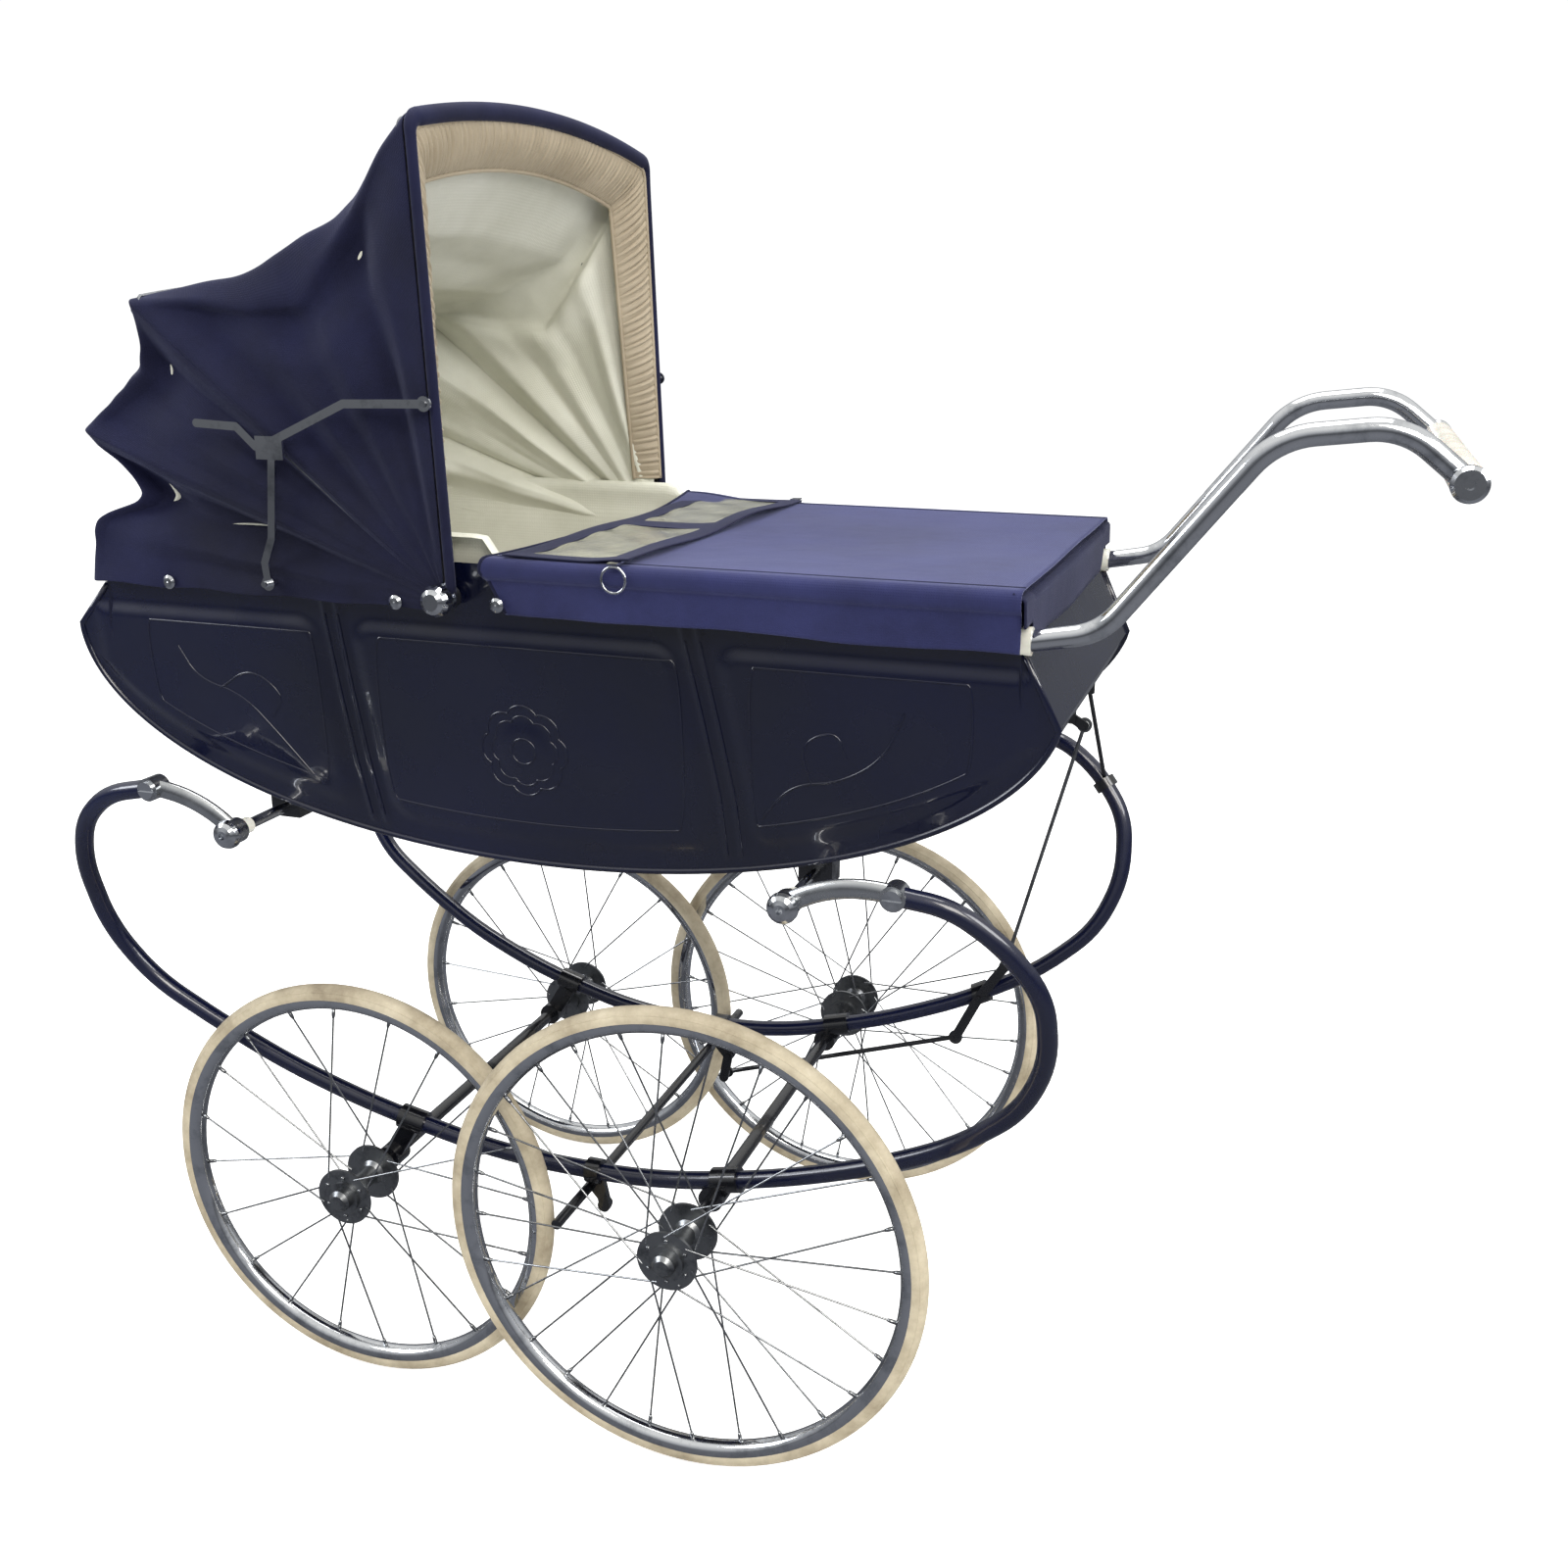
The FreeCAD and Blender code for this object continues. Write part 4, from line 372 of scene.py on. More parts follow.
def upper_z(x):
    """The outline's upper limit: the rim, or the sloping nose and tail panels."""
    nose = np.interp(x, [MID_X - HALF_LONG, NOSE_X], [WIDE_Z, 0.866])
    tip = MID_X + HALF_LONG * math.sqrt(1 - ((WIDE_Z - TIP_Z) / (WIDE_Z - LOW_Z)) ** 2)
    tail = np.interp(x, [TAIL_X, tip], [0.868, TIP_Z])
    return np.where(x < NOSE_X, nose, np.where(x > TAIL_X, tail, RIM_Z))


def divider(z, left):
    """Centre line of a moulded divider between two flank panels."""
    if left:
        return OX + np.interp(z, [0.60, 0.629, 0.701, 0.781, 0.840, 0.90],
                              [-0.352, -0.357, -0.369, -0.379, -0.385, -0.390])
    return OX + np.interp(z, [0.60, 0.644, 0.701, 0.776, 0.844, 0.90], [0.035, 0.033, 0.028, 0.014, 0.0, -0.010])


def rounded_inside(a, b, radius):
    """Distance inside a corner whose two edges are a and b away."""
    corner = radius - np.hypot(np.clip(radius - a, 0, None), np.clip(radius - b, 0, None))
    return np.where((a > radius) | (b > radius), np.minimum(a, b), corner)


def relief(x, z):
    """Height of the pressed flank pattern, metres: pillowed panels, paired dividers and a low dome."""
    left, right = divider(z, True), divider(z, False)
    top = 0.852 - z
    low = z - belly_z(x) - 0.016
    middle = rounded_inside(rounded_inside(x - left - 0.013, right - 0.013 - x, 0.0001), np.minimum(top, low), 0.030)
    fore = rounded_inside(left - 0.013 - x, np.minimum(np.minimum(top, low), (x - NOSE_X + 0.03) * 0.9), 0.030)
    aft = rounded_inside(x - right - 0.013, np.minimum(np.minimum(top, low), (TAIL_X + 0.022 - x) * 0.9), 0.030)
    inside = np.maximum(middle, np.maximum(fore, aft))
    height = 0.0042 * smooth(0, 0.020, inside)
    for line in (left, right):
        for side in (-0.0075, 0.0075):
            height = height + 0.0026 * np.exp(-(((x - line + side) / 0.0034) ** 2)) * smooth(0.0, 0.012, low + 0.010)
    r = np.hypot(x - (OX - 0.183), z - 0.728)
    height = height + 0.0020 * smooth(0.034, 0.016, r)
    return height * smooth(0.0, 0.010, low + 0.014) * smooth(0.0, 0.006, RIM_Z - z)


def rounded(points, times=3, closed=True):
    """Corners cut round by repeated quarter cuts."""
    p = np.array(points, float)
    for _ in range(times):
        q = np.roll(p, -1, axis=0) if closed else p[1:]
        a = p if closed else p[:-1]
        p2 = np.stack([0.75 * a + 0.25 * q, 0.25 * a + 0.75 * q], axis=1).reshape(-1, 2)
        p = p2 if closed else np.concatenate([p[:1], p2, p[-1:]])
    return p


def bead_lines():
    """The fine raised lines of the flank pattern, as (points, radius, closed) in the X, Z plane."""
    lines = []
    for left in (True, False):
        for off in (-0.0075, 0.0075):
            z = np.linspace(0.642, 0.852, 40)
            lines.append((np.stack([divider(z, left) + off, z], axis=-1), 0.0013, False))
    for low_x, high_x in ((OX - 0.610, None), (None, None), (None, OX + 0.262)):
        a = float(divider(0.75, high_x is None)) + 0.034 if low_x is None else low_x
        b = float(divider(0.75, low_x is not None)) - 0.034 if high_x is None else high_x
        xs = np.linspace(a, b, 18)
        ends = [(x, 0.832) for x in xs] + [(x, float(belly_z(np.array(x))) + 0.044) for x in xs[::-1]]
        lines.append((rounded([p for p in ends if p[1] < 0.833], 3), 0.0011, True))
    turn = np.linspace(0, 2 * math.pi, 200, endpoint=False)
    for base, depth, size in ((0.040, 0.0065, 0.0012), (0.031, 0.0050, 0.0010)):
        r = base + depth * np.abs(np.cos(4 * turn)) ** 0.7
        lines.append((np.stack([OX - 0.183 + r * np.cos(turn), 0.728 + r * np.sin(turn)], axis=-1), size, True))
    lines.append((np.stack([OX - 0.183 + 0.013 * np.cos(turn), 0.728 + 0.013 * np.sin(turn)], axis=-1), 0.0011, True))
    for leaf in ([(-0.575, 0.806), (-0.556, 0.772), (-0.505, 0.760), (-0.468, 0.722), (-0.424, 0.672)],
                 [(-0.530, 0.764), (-0.490, 0.790), (-0.452, 0.762), (-0.470, 0.738)],
                 [(0.062, 0.684), (0.092, 0.722), (0.140, 0.728), (0.182, 0.756), (0.200, 0.800)],
                 [(0.112, 0.724), (0.100, 0.762), (0.136, 0.780), (0.146, 0.752)]):
        lines.append((rounded([(OX + a_, b_) for a_, b_ in leaf], 4, False), 0.0012, False))
    return lines


def flank_beads(side, tag):
    verts, faces, base = [], [], 0
    for pts, size, closed in bead_lines():
        x, z = pts[:, 0], pts[:, 1]
        y = half_width(z) - 0.0045 + relief(x.copy(), z) - 0.0002
        ahead = (np.roll(pts, -1, axis=0) - np.roll(pts, 1, axis=0)) if closed else np.gradient(pts, axis=0)
        ahead /= np.linalg.norm(ahead, axis=1)[:, None] + 1e-9
        n, m = len(pts), 6
        for k in range(m):
            a = 2 * math.pi * k / m
            verts.append(np.stack([x - ahead[:, 1] * size * math.cos(a), side * (y + size * math.sin(a)),
                                   z + ahead[:, 0] * size * math.cos(a)], axis=-1))
        for i in range(n if closed else n - 1):
            for k in range(m):
                j, l = (i + 1) % n, (k + 1) % m
                quad = (base + k * n + i, base + l * n + i, base + l * n + j, base + k * n + j)
                faces.append(quad if side > 0 else quad[::-1])
        base += n * m
    obj = add_mesh("flank_beads_" + tag, np.concatenate(verts), faces, NAVY_ENAMEL)
    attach(obj, "carriage")


def flank(name, side):
    tip = MID_X + HALF_LONG * math.sqrt(1 - ((WIDE_Z - TIP_Z) / (WIDE_Z - LOW_Z)) ** 2)
    xs = np.linspace(MID_X - HALF_LONG + 0.0004, tip - 0.0004, 380)
    v = np.linspace(0, 1, 108)
    x = np.broadcast_to(xs, (len(v), len(xs)))
    bottom, top = belly_z(xs), upper_z(xs)
    z = bottom + (top - bottom) * v[:, None]
    y = side * (half_width(z) - 0.0045 + relief(x.copy(), z))
    obj = grid(name, np.stack([x, y, z], axis=-1), NAVY_ENAMEL, flip=side > 0)
    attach(obj, "carriage")
    return obj


def shell_strip():
    """The body's nose, belly and tail between the flanks, and its wired edges."""
    tip = MID_X + HALF_LONG * math.sqrt(1 - ((WIDE_Z - TIP_Z) / (WIDE_Z - LOW_Z)) ** 2)
    dip = math.asin((WIDE_Z - TIP_Z) / (WIDE_Z - LOW_Z))
    turn = np.linspace(math.pi, 2 * math.pi - dip, 90)
    path = [(NOSE_X, RIM_Z), (NOSE_X, 0.880), (NOSE_X, 0.866)]
    path += [(MID_X + HALF_LONG * math.cos(a), WIDE_Z + (WIDE_Z - LOW_Z) * math.sin(a)) for a in turn]
    path += [(tip - (tip - TAIL_X) * k, TIP_Z + (0.868 - TIP_Z) * k) for k in (0.5, 1.0)] + [(TAIL_X, RIM_Z)]
    path = np.array(path)
    across = np.linspace(-1, 1, 26)
    half = half_width(path[:, 1]) - 0.0045
    pts = np.stack([np.broadcast_to(path[:, :1], (len(path), 26)), half[:, None] * across,
                    np.broadcast_to(path[:, 1:], (len(path), 26))], axis=-1)
    strip = grid("tub_ends_and_belly", pts, NAVY_ENAMEL)
    strip.data.polygons.foreach_set("use_smooth", [True] * len(strip.data.polygons))
    solidify(strip, 0.0015)
    mod = strip.modifiers.new("edges", "EDGE_SPLIT")
    mod.split_angle = math.radians(28)
    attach(strip, "carriage")
    pieces = [strip]
    for side, tag in ((-1, "left"), (1, "right")):
        line = np.stack([path[:, 0], side * (half - 0.0005), path[:, 1]], axis=-1)
        edge = sweep("tub_wired_edge_" + tag, line[2:-1], circle(0.0032, 10), NAVY_ENAMEL, up=(0, 1, 0))
        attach(edge, "carriage")
        pieces.append(edge)
    return pieces


flank_left = flank("tub_flank_left", -1)
flank("tub_flank_right", 1)
flank_beads(-1, "left")
flank_beads(1, "right")
shell_strip()
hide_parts("tub_shell")


# ---------------------------------------------------------------- hood
LEG, CORNER, TOP = 54, 9, 96


def arch_line(degrees, reach=REACH, half=None, start=0.014, corner=0.014, arch=ARCH):
    """Points of a bow's outline over the cloth: left foot, up, over, and down to the right foot."""
    half = HALF if half is None else half
    legs = np.linspace(start, reach - corner, LEG)
    bend = np.linspace(0, math.pi / 2, CORNER + 2)[1:-1]
    tops = np.linspace(-(half - corner), half - corner, TOP)
    y = np.concatenate([-half + 0 * legs, -half + corner * (1 - np.cos(bend)), tops,
                        (half - corner * (1 - np.cos(bend)))[::-1], half + 0 * legs])
    r = np.concatenate([legs, reach - corner * (1 - np.sin(bend)), reach + arch * (1 - (tops / (half - corner)) ** 2),
                        (reach - corner * (1 - np.sin(bend)))[::-1], legs[::-1]])
    a = math.radians(degrees)
    return np.stack([PX + r * math.cos(a), y, PZ + r * math.sin(a)], axis=-1)


def hem_line(half=None, inset=0.0):
    """The hood's lower hem: along the left side, round the nose, and back along the right side."""
    half = (HALF if half is None else half) - inset
    nose = NOSE_X - 0.0050 + inset
    corner = 0.014
    front = PX + 0.004
    xs = np.linspace(front, nose + corner, LEG)
    bend = np.linspace(0, math.pi / 2, CORNER + 2)[1:-1]
    tops = np.linspace(-(half - corner), half - corner, TOP)
    x = np.concatenate([xs, nose + corner * (1 - np.sin(bend)), nose + 0 * tops,
                        (nose + corner * (1 - np.sin(bend)))[::-1], xs[::-1]])
    y = np.concatenate([-half + 0 * xs, -half + corner * (1 - np.cos(bend)), tops,
                        (half - corner * (1 - np.cos(bend)))[::-1], half + 0 * xs])
    z = 0.8675 + 0.004 * smooth(PX, nose, x) + 0.0012 * np.sin(x * 60) + 0.001 * np.sin(y * 45)
    return np.stack([x, y, z], axis=-1)


COUNT = 2 * LEG + 2 * CORNER + TOP
S = np.arange(COUNT)
LEG_SHARE = np.clip(np.minimum(S, COUNT - 1 - S) / (LEG - 1), 0, 1)      # 0 at the foot, 1 at the corner
OVER = smooth(LEG - 4, LEG + CORNER + 1, np.minimum(S, COUNT - 1 - S))   # 0 on the sides, 1 across the top
HAND = np.where(S < COUNT / 2, 1.0, -1.0)                                # inward along Y


def through(t, stations, soft=0.022):
    """A softened run through (place, value) stations, zero at both ends."""
    fine = np.linspace(-0.2, 1.2, 561)
    kernel = np.exp(-(np.arange(-40, 41) * 0.0025 / soft) ** 2)
    value = np.convolve(np.pad(np.interp(fine, *zip(*stations)), 40, mode="edge"), kernel / kernel.sum(), "valid")
    at = np.interp(t, fine, value)
    return at - np.interp(0, fine, value) * (1 - t) ** 12 - np.interp(1, fine, value) * t ** 12


def panel(upper, lower, rows, near, crease, centre, side, seed, wrinkle, level, extra=0.0):
    """A cloth panel hung between two outlines.  near, crease and centre are the slack's depth at t
    close to the top's edge, at its corner and in the middle; side is how far the side faces dip."""
    t = np.linspace(0, 1, rows)[:, None]
    base = upper[None] * (1 - t[..., None]) + lower[None] * t[..., None]
    if level:
        toward = np.zeros_like(base)
        toward[..., 0] = 1.0
    else:
        toward = np.stack([PX - base[..., 0], 0 * base[..., 0], PZ - base[..., 2]], axis=-1)
        toward /= np.linalg.norm(toward, axis=-1)[..., None] + 1e-9
    half = np.abs(base[..., 1]).max()
    wide = np.abs(base[..., 1]) / half
    edge = half - np.abs(base[..., 1])
    hang = through(t, centre) * (1 - wide ** 3) + through(t, near) * wide ** 3
    hang = hang + (through(t, crease) - through(t, near)) * smooth(0.032, 0.003, edge)
    hang = hang * (LEG_SHARE[None] ** 1.15)
    leg = LEG_SHARE[None] + 0 * t
    more = extra * np.sin(math.pi * t) ** 0.6 * smooth(0.02, 0.25, leg)
    hang = hang + more
    dip = (side(t, leg) + 0.016 * np.sin(math.pi * t) * smooth(0.80, 1, leg) + more * 0.6) * (1 - OVER)[None]
    hold = np.sin(math.pi * np.clip(t, 0, 1)) ** 0.7
    rough = waves(S[None] / 60.0, t * 1.3, seed, 9, 0.8, 5.0) * wrinkle * hold * (0.25 + LEG_SHARE[None])
    sideways = np.zeros_like(base)
    sideways[..., 1] = HAND
    return (base + toward * (hang + rough * OVER[None])[..., None]
            + sideways * (dip + rough * (1 - OVER)[None])[..., None])


def front_side(t, leg):
    at = np.clip(t + 0.05 * (1 - leg), 0, 1)
    run = through(at, [(0, 0), (0.17, 0.003), (0.27, 0.019), (0.36, 0.009), (0.48, 0.003), (0.60, 0.012),
                       (0.72, 0.005), (0.87, 0.018), (0.96, 0.004), (1, 0)])
    return run * smooth(0.02, 0.6, leg) * np.clip((1 - t) / 0.04, 0, 1)


def middle_side(t, leg):
    return through(t, [(0, 0), (0.08, 0.004), (0.26, 0.020), (0.46, 0.009), (0.66, 0.004), (0.86, 0.007),
                       (1, 0)]) * smooth(0.02, 0.6, leg)


def rear_side(t, leg):
    return through(t, [(0, 0), (0.10, 0.005), (0.28, 0.021), (0.42, 0.019), (0.54, 0.004), (0.64, 0), (0.76, 0.004),
                       (1, 0)]) * smooth(0.02, 0.6, leg)


SLACK = {
    "front": ([(0, 0), (0.13, 0.011), (0.24, 0.033), (0.34, 0.035), (0.44, 0.031), (0.61, 0.034), (0.75, 0.028),
               (0.87, 0.014), (1, 0)],
              [(0, 0), (0.10, 0.014), (0.25, 0.052), (0.54, 0.086), (0.74, 0.062), (0.90, 0.026), (1, 0)],
              [(0, 0), (0.15, 0.017), (0.32, 0.040), (0.48, 0.036), (0.64, 0.044), (0.85, 0.022), (1, 0)], front_side),
    "middle": ([(0, 0), (0.14, 0.009), (0.26, 0.017), (0.41, 0.021), (0.57, 0.018), (0.75, 0.012), (0.90, 0.003),
                (1, 0)],
               [(0, 0), (0.20, 0.022), (0.40, 0.038), (0.60, 0.026), (0.80, 0.012), (1, 0)],
               [(0, 0), (0.26, 0.026), (0.45, 0.030), (0.75, 0.014), (1, 0)], middle_side),
    "rear": ([(0, 0), (0.11, 0.008), (0.20, 0.027), (0.32, 0.044), (0.41, 0.057), (0.48, 0.054), (0.53, 0.026),
              (0.59, 0.008), (0.68, 0), (1, 0)],
             [(0, 0), (0.11, 0.012), (0.20, 0.034), (0.32, 0.052), (0.41, 0.064), (0.48, 0.058), (0.53, 0.028),
              (0.59, 0.008), (0.68, 0), (1, 0)],
             [(0, 0), (0.14, 0.012), (0.32, 0.042), (0.43, 0.054), (0.53, 0.022), (0.66, 0), (1, 0)], rear_side)}
TIPS = {deg: (PX + REACH * math.cos(math.radians(deg)), 0.0, PZ + REACH * math.sin(math.radians(deg)))
        for deg in (FRONT, MIDDLE, REAR)}


def hood_panels(prefix, mat, inset, wrinkle):
    half, reach = HALF - inset, REACH - inset
    front, middle, rear = (arch_line(d, reach, half) for d in (FRONT, MIDDLE, REAR))
    made = []
    for name, upper, lower, rows, seed, a, b, start, end in (
            ("front", front, middle, 90, 3, "hood_middle", "hood_front", TIPS[MIDDLE], TIPS[FRONT]),
            ("middle", middle, rear, 44, 5, "hood_rear", "hood_middle", TIPS[REAR], TIPS[MIDDLE]),
            ("rear", rear, hem_line(half, 0.0 if inset == 0 else 0.012), 60, 8, "carriage", "hood_rear",
             (NOSE_X, 0, 0.880), (NOSE_X + 0.01, 0, PZ + REACH * math.sin(math.radians(REAR))))):
        near, crease, centre, side = SLACK[name]
        pts = panel(upper, lower, rows, near, crease, centre, side, seed, wrinkle, name == "rear", inset * 1.1)
        obj = grid(prefix + name, pts, mat)
        solidify(obj, 0.0012)
        obj.modifiers.new("soft", "SUBSURF").levels = 1
        obj.modifiers["soft"].render_levels = 1
        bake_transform(obj)
        made.append(obj)
    return made


canvas = hood_panels("hood_canvas_", CANVAS, 0.0, 0.0030)
for obj, node in zip(canvas, ("hood_cloth_front", "hood_cloth_middle", "hood_cloth_rear")):
    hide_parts(node)
hood_panels("hood_lining_", VINYL, 0.014, 0.0030)

# piping along the hood's front edge
edge = arch_line(FRONT, REACH - 0.004, HALF - 0.003, 0.004)
edge[:, 0] += 0.006
piping = sweep("hood_front_piping", edge, circle(1.0, 14, 0.85), CANVAS, up=(1, 0, 0), scale=0.0055 + 0.0030 * OVER)
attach(piping, "hood_front")


def frill():
    """Ruched satin gathered round the inside of the hood's front edge."""
    outer = arch_line(FRONT, REACH - 0.010, HALF - 0.008, 0.062, 0.014)
    inner = arch_line(FRONT, REACH - 0.055, HALF - 0.052, 0.062, 0.008)
    hand = np.sign(inner[:, 1])
    on_leg = (S < LEG) | (S >= COUNT - LEG)
    inner[on_leg, 1] = (hand * (HALF - 0.008 - 0.020 - 0.024 * LEG_SHARE))[on_leg]
    dense = np.linspace(0, COUNT - 1, 1150)
    wide = 13
    out = np.stack([np.interp(dense, S, outer[:, k]) for k in range(3)], axis=-1)
    ins = np.stack([np.interp(dense, S, inner[:, k]) for k in range(3)], axis=-1)
    w = np.linspace(0, 1, wide)[:, None]
    run = np.concatenate([[0], np.cumsum(np.linalg.norm(np.diff(out, axis=0), axis=1))])
    pts = out[None] * (1 - w[..., None]) + ins[None] * w[..., None]
    pleat = np.sin(run * 2 * math.pi / 0.0085 + 1.6 * np.sin(run * 37) + 0.9 * np.sin(run * 71 + 1))
    pleat2 = np.sin(run * 2 * math.pi / 0.0052 + 2.1 * np.sin(run * 23 + 2))
    puff = np.sin(math.pi * np.clip(w * 1.0, 0, 1)) ** 0.6
    pts[..., 0] += 0.004 + 0.0075 * puff + puff * (0.0016 * pleat[None] + 0.0009 * pleat2[None]) - 0.026 * w
    pts[..., 2] += 0.0008 * pleat[None] * w
    obj = grid("hood_satin_frill", pts, SATIN)
    solidify(obj, 0.0008)
    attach(obj, "hood_front")
    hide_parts("hood_frill")
    # gathering cords at the frill's two edges
    for tag, line, shift in (("outer", out, 0.006), ("inner", ins, -0.020)):
        cord_line = line[::3].copy()
        cord_line[:, 0] += shift
        cord = sweep("frill_gather_" + tag, cord_line, circle(0.0022, 8), SATIN, up=(1, 0, 0))
        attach(cord, "hood_front")


frill()


# ---------------------------------------------------------------- lining, mattress, cover
def ring_path(x0, x1, half, z, corner, per=10):
    """A closed rounded rectangle seen from above."""
    pts = []
    for cx, cy, start in ((x1 - corner, half - corner, 0), (x0 + corner, half - corner, 90),
                          (x0 + corner, -half + corner, 180), (x1 - corner, -half + corner, 270)):
        for k in range(per + 1):
            a = math.radians(start + 90 * k / per)
            pts.append((cx + corner * math.cos(a), cy + corner * math.sin(a), z))
    dense = []
    for i, p in enumerate(pts):
        q = pts[(i + 1) % len(pts)]
        steps = max(1, int(math.dist(p, q) / 0.012))
        dense += [tuple(np.array(p) + (np.array(q) - np.array(p)) * k / steps) for k in range(steps)]
    return np.array(dense)


def lining():
    x0, x1 = NOSE_X + 0.004, TAIL_X - 0.004
    half = 0.2440
    profile = [(0.000, 0.936), (0.004, 0.9385), (0.010, 0.9385), (0.0145, 0.935), (0.0155, 0.925), (0.013, 0.915),
               (0.016, 0.905), (0.0185, 0.880), (0.022, 0.840), (0.030, 0.790), (0.040, 0.750), (0.060, 0.722)]
    base = ring_path(x0, x1, half, 0.0, 0.030)
    centre = np.array([(x0 + x1) / 2, 0, 0])
    rows = []
    for inset, z in profile:
        row = base.copy()
        scale_x = 1 - inset / ((x1 - x0) / 2)
        scale_y = 1 - inset / half
        row[:, 0] = centre[0] + (row[:, 0] - centre[0]) * scale_x
        row[:, 1] *= scale_y
        # the padded edge is lower where the apron covers it
        drop = 0.0215 * smooth(OX - 0.215, OX - 0.195, row[:, 0]) if z > 0.9 else 0.0
        row[:, 2] = z - drop
        row[:, 1] += 0.0012 * np.sin(row[:, 0] * 40 + z * 30) * (z < 0.9)
        rows.append(row)
    obj = grid("body_lining", np.array(rows), VINYL, wrap=True)
    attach(obj, "carriage")
    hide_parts("tub_lining")


def mattress():
    lo_, hi_ = (np.array(v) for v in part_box("mattress"))
    centre, half = (lo_ + hi_) / 2, (hi_ - lo_) / 2 - np.array([0.03, 0.004, 0.001])
    u = np.linspace(-1, 1, 60)
    v = np.linspace(-1, 1, 34)
    rows = []
    for level in (-1, 1):
        gx, gy = np.meshgrid(u, v)
        edge_x, edge_y = 1 - np.abs(gx) ** 10, 1 - np.abs(gy) ** 10
        tall = (half[2] * (0.72 + 0.28 * (1 - gx ** 2 * 0.4) * (1 - gy ** 2 * 0.4))
                * (np.clip(edge_x * edge_y, 0, 1) ** 0.35))
        quilt = 0.0018 * np.sin(gx * 28) * np.sin(gy * 14)
        rows.append(np.stack([centre[0] + gx * half[0], centre[1] + gy * half[1] * (1 - 0.02 * gx ** 2),
                              centre[2] + level * np.maximum(tall + quilt, 0.0)], axis=-1))
    n, m = rows[0].shape[:2]
    verts = np.concatenate([r.reshape(-1, 3) for r in rows])
    faces = []
    for base_, flip in ((0, True), (n * m, False)):
        for i in range(n - 1):
            for j in range(m - 1):
                q = (base_ + i * m + j, base_ + i * m + j + 1, base_ + (i + 1) * m + j + 1, base_ + (i + 1) * m + j)
                faces.append(q[::-1] if flip else q)
    rim_loop = ([(0, j) for j in range(m)] + [(i, m - 1) for i in range(1, n)]
                + [(n - 1, j) for j in range(m - 2, -1, -1)] + [(i, 0) for i in range(n - 2, 0, -1)])
    for (a, b), (c, d) in zip(rim_loop, rim_loop[1:] + rim_loop[:1]):
        faces.append((a * m + b, c * m + d, n * m + c * m + d, n * m + a * m + b))
    uv = np.tile(np.stack(np.meshgrid(u * half[0], v * half[1]), axis=-1).reshape(-1, 2), (2, 1))
    obj = add_mesh("mattress_pad", verts, faces, TICKING, uv)
    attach(obj, "carriage")
    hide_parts("mattress")


lining()
mattress()


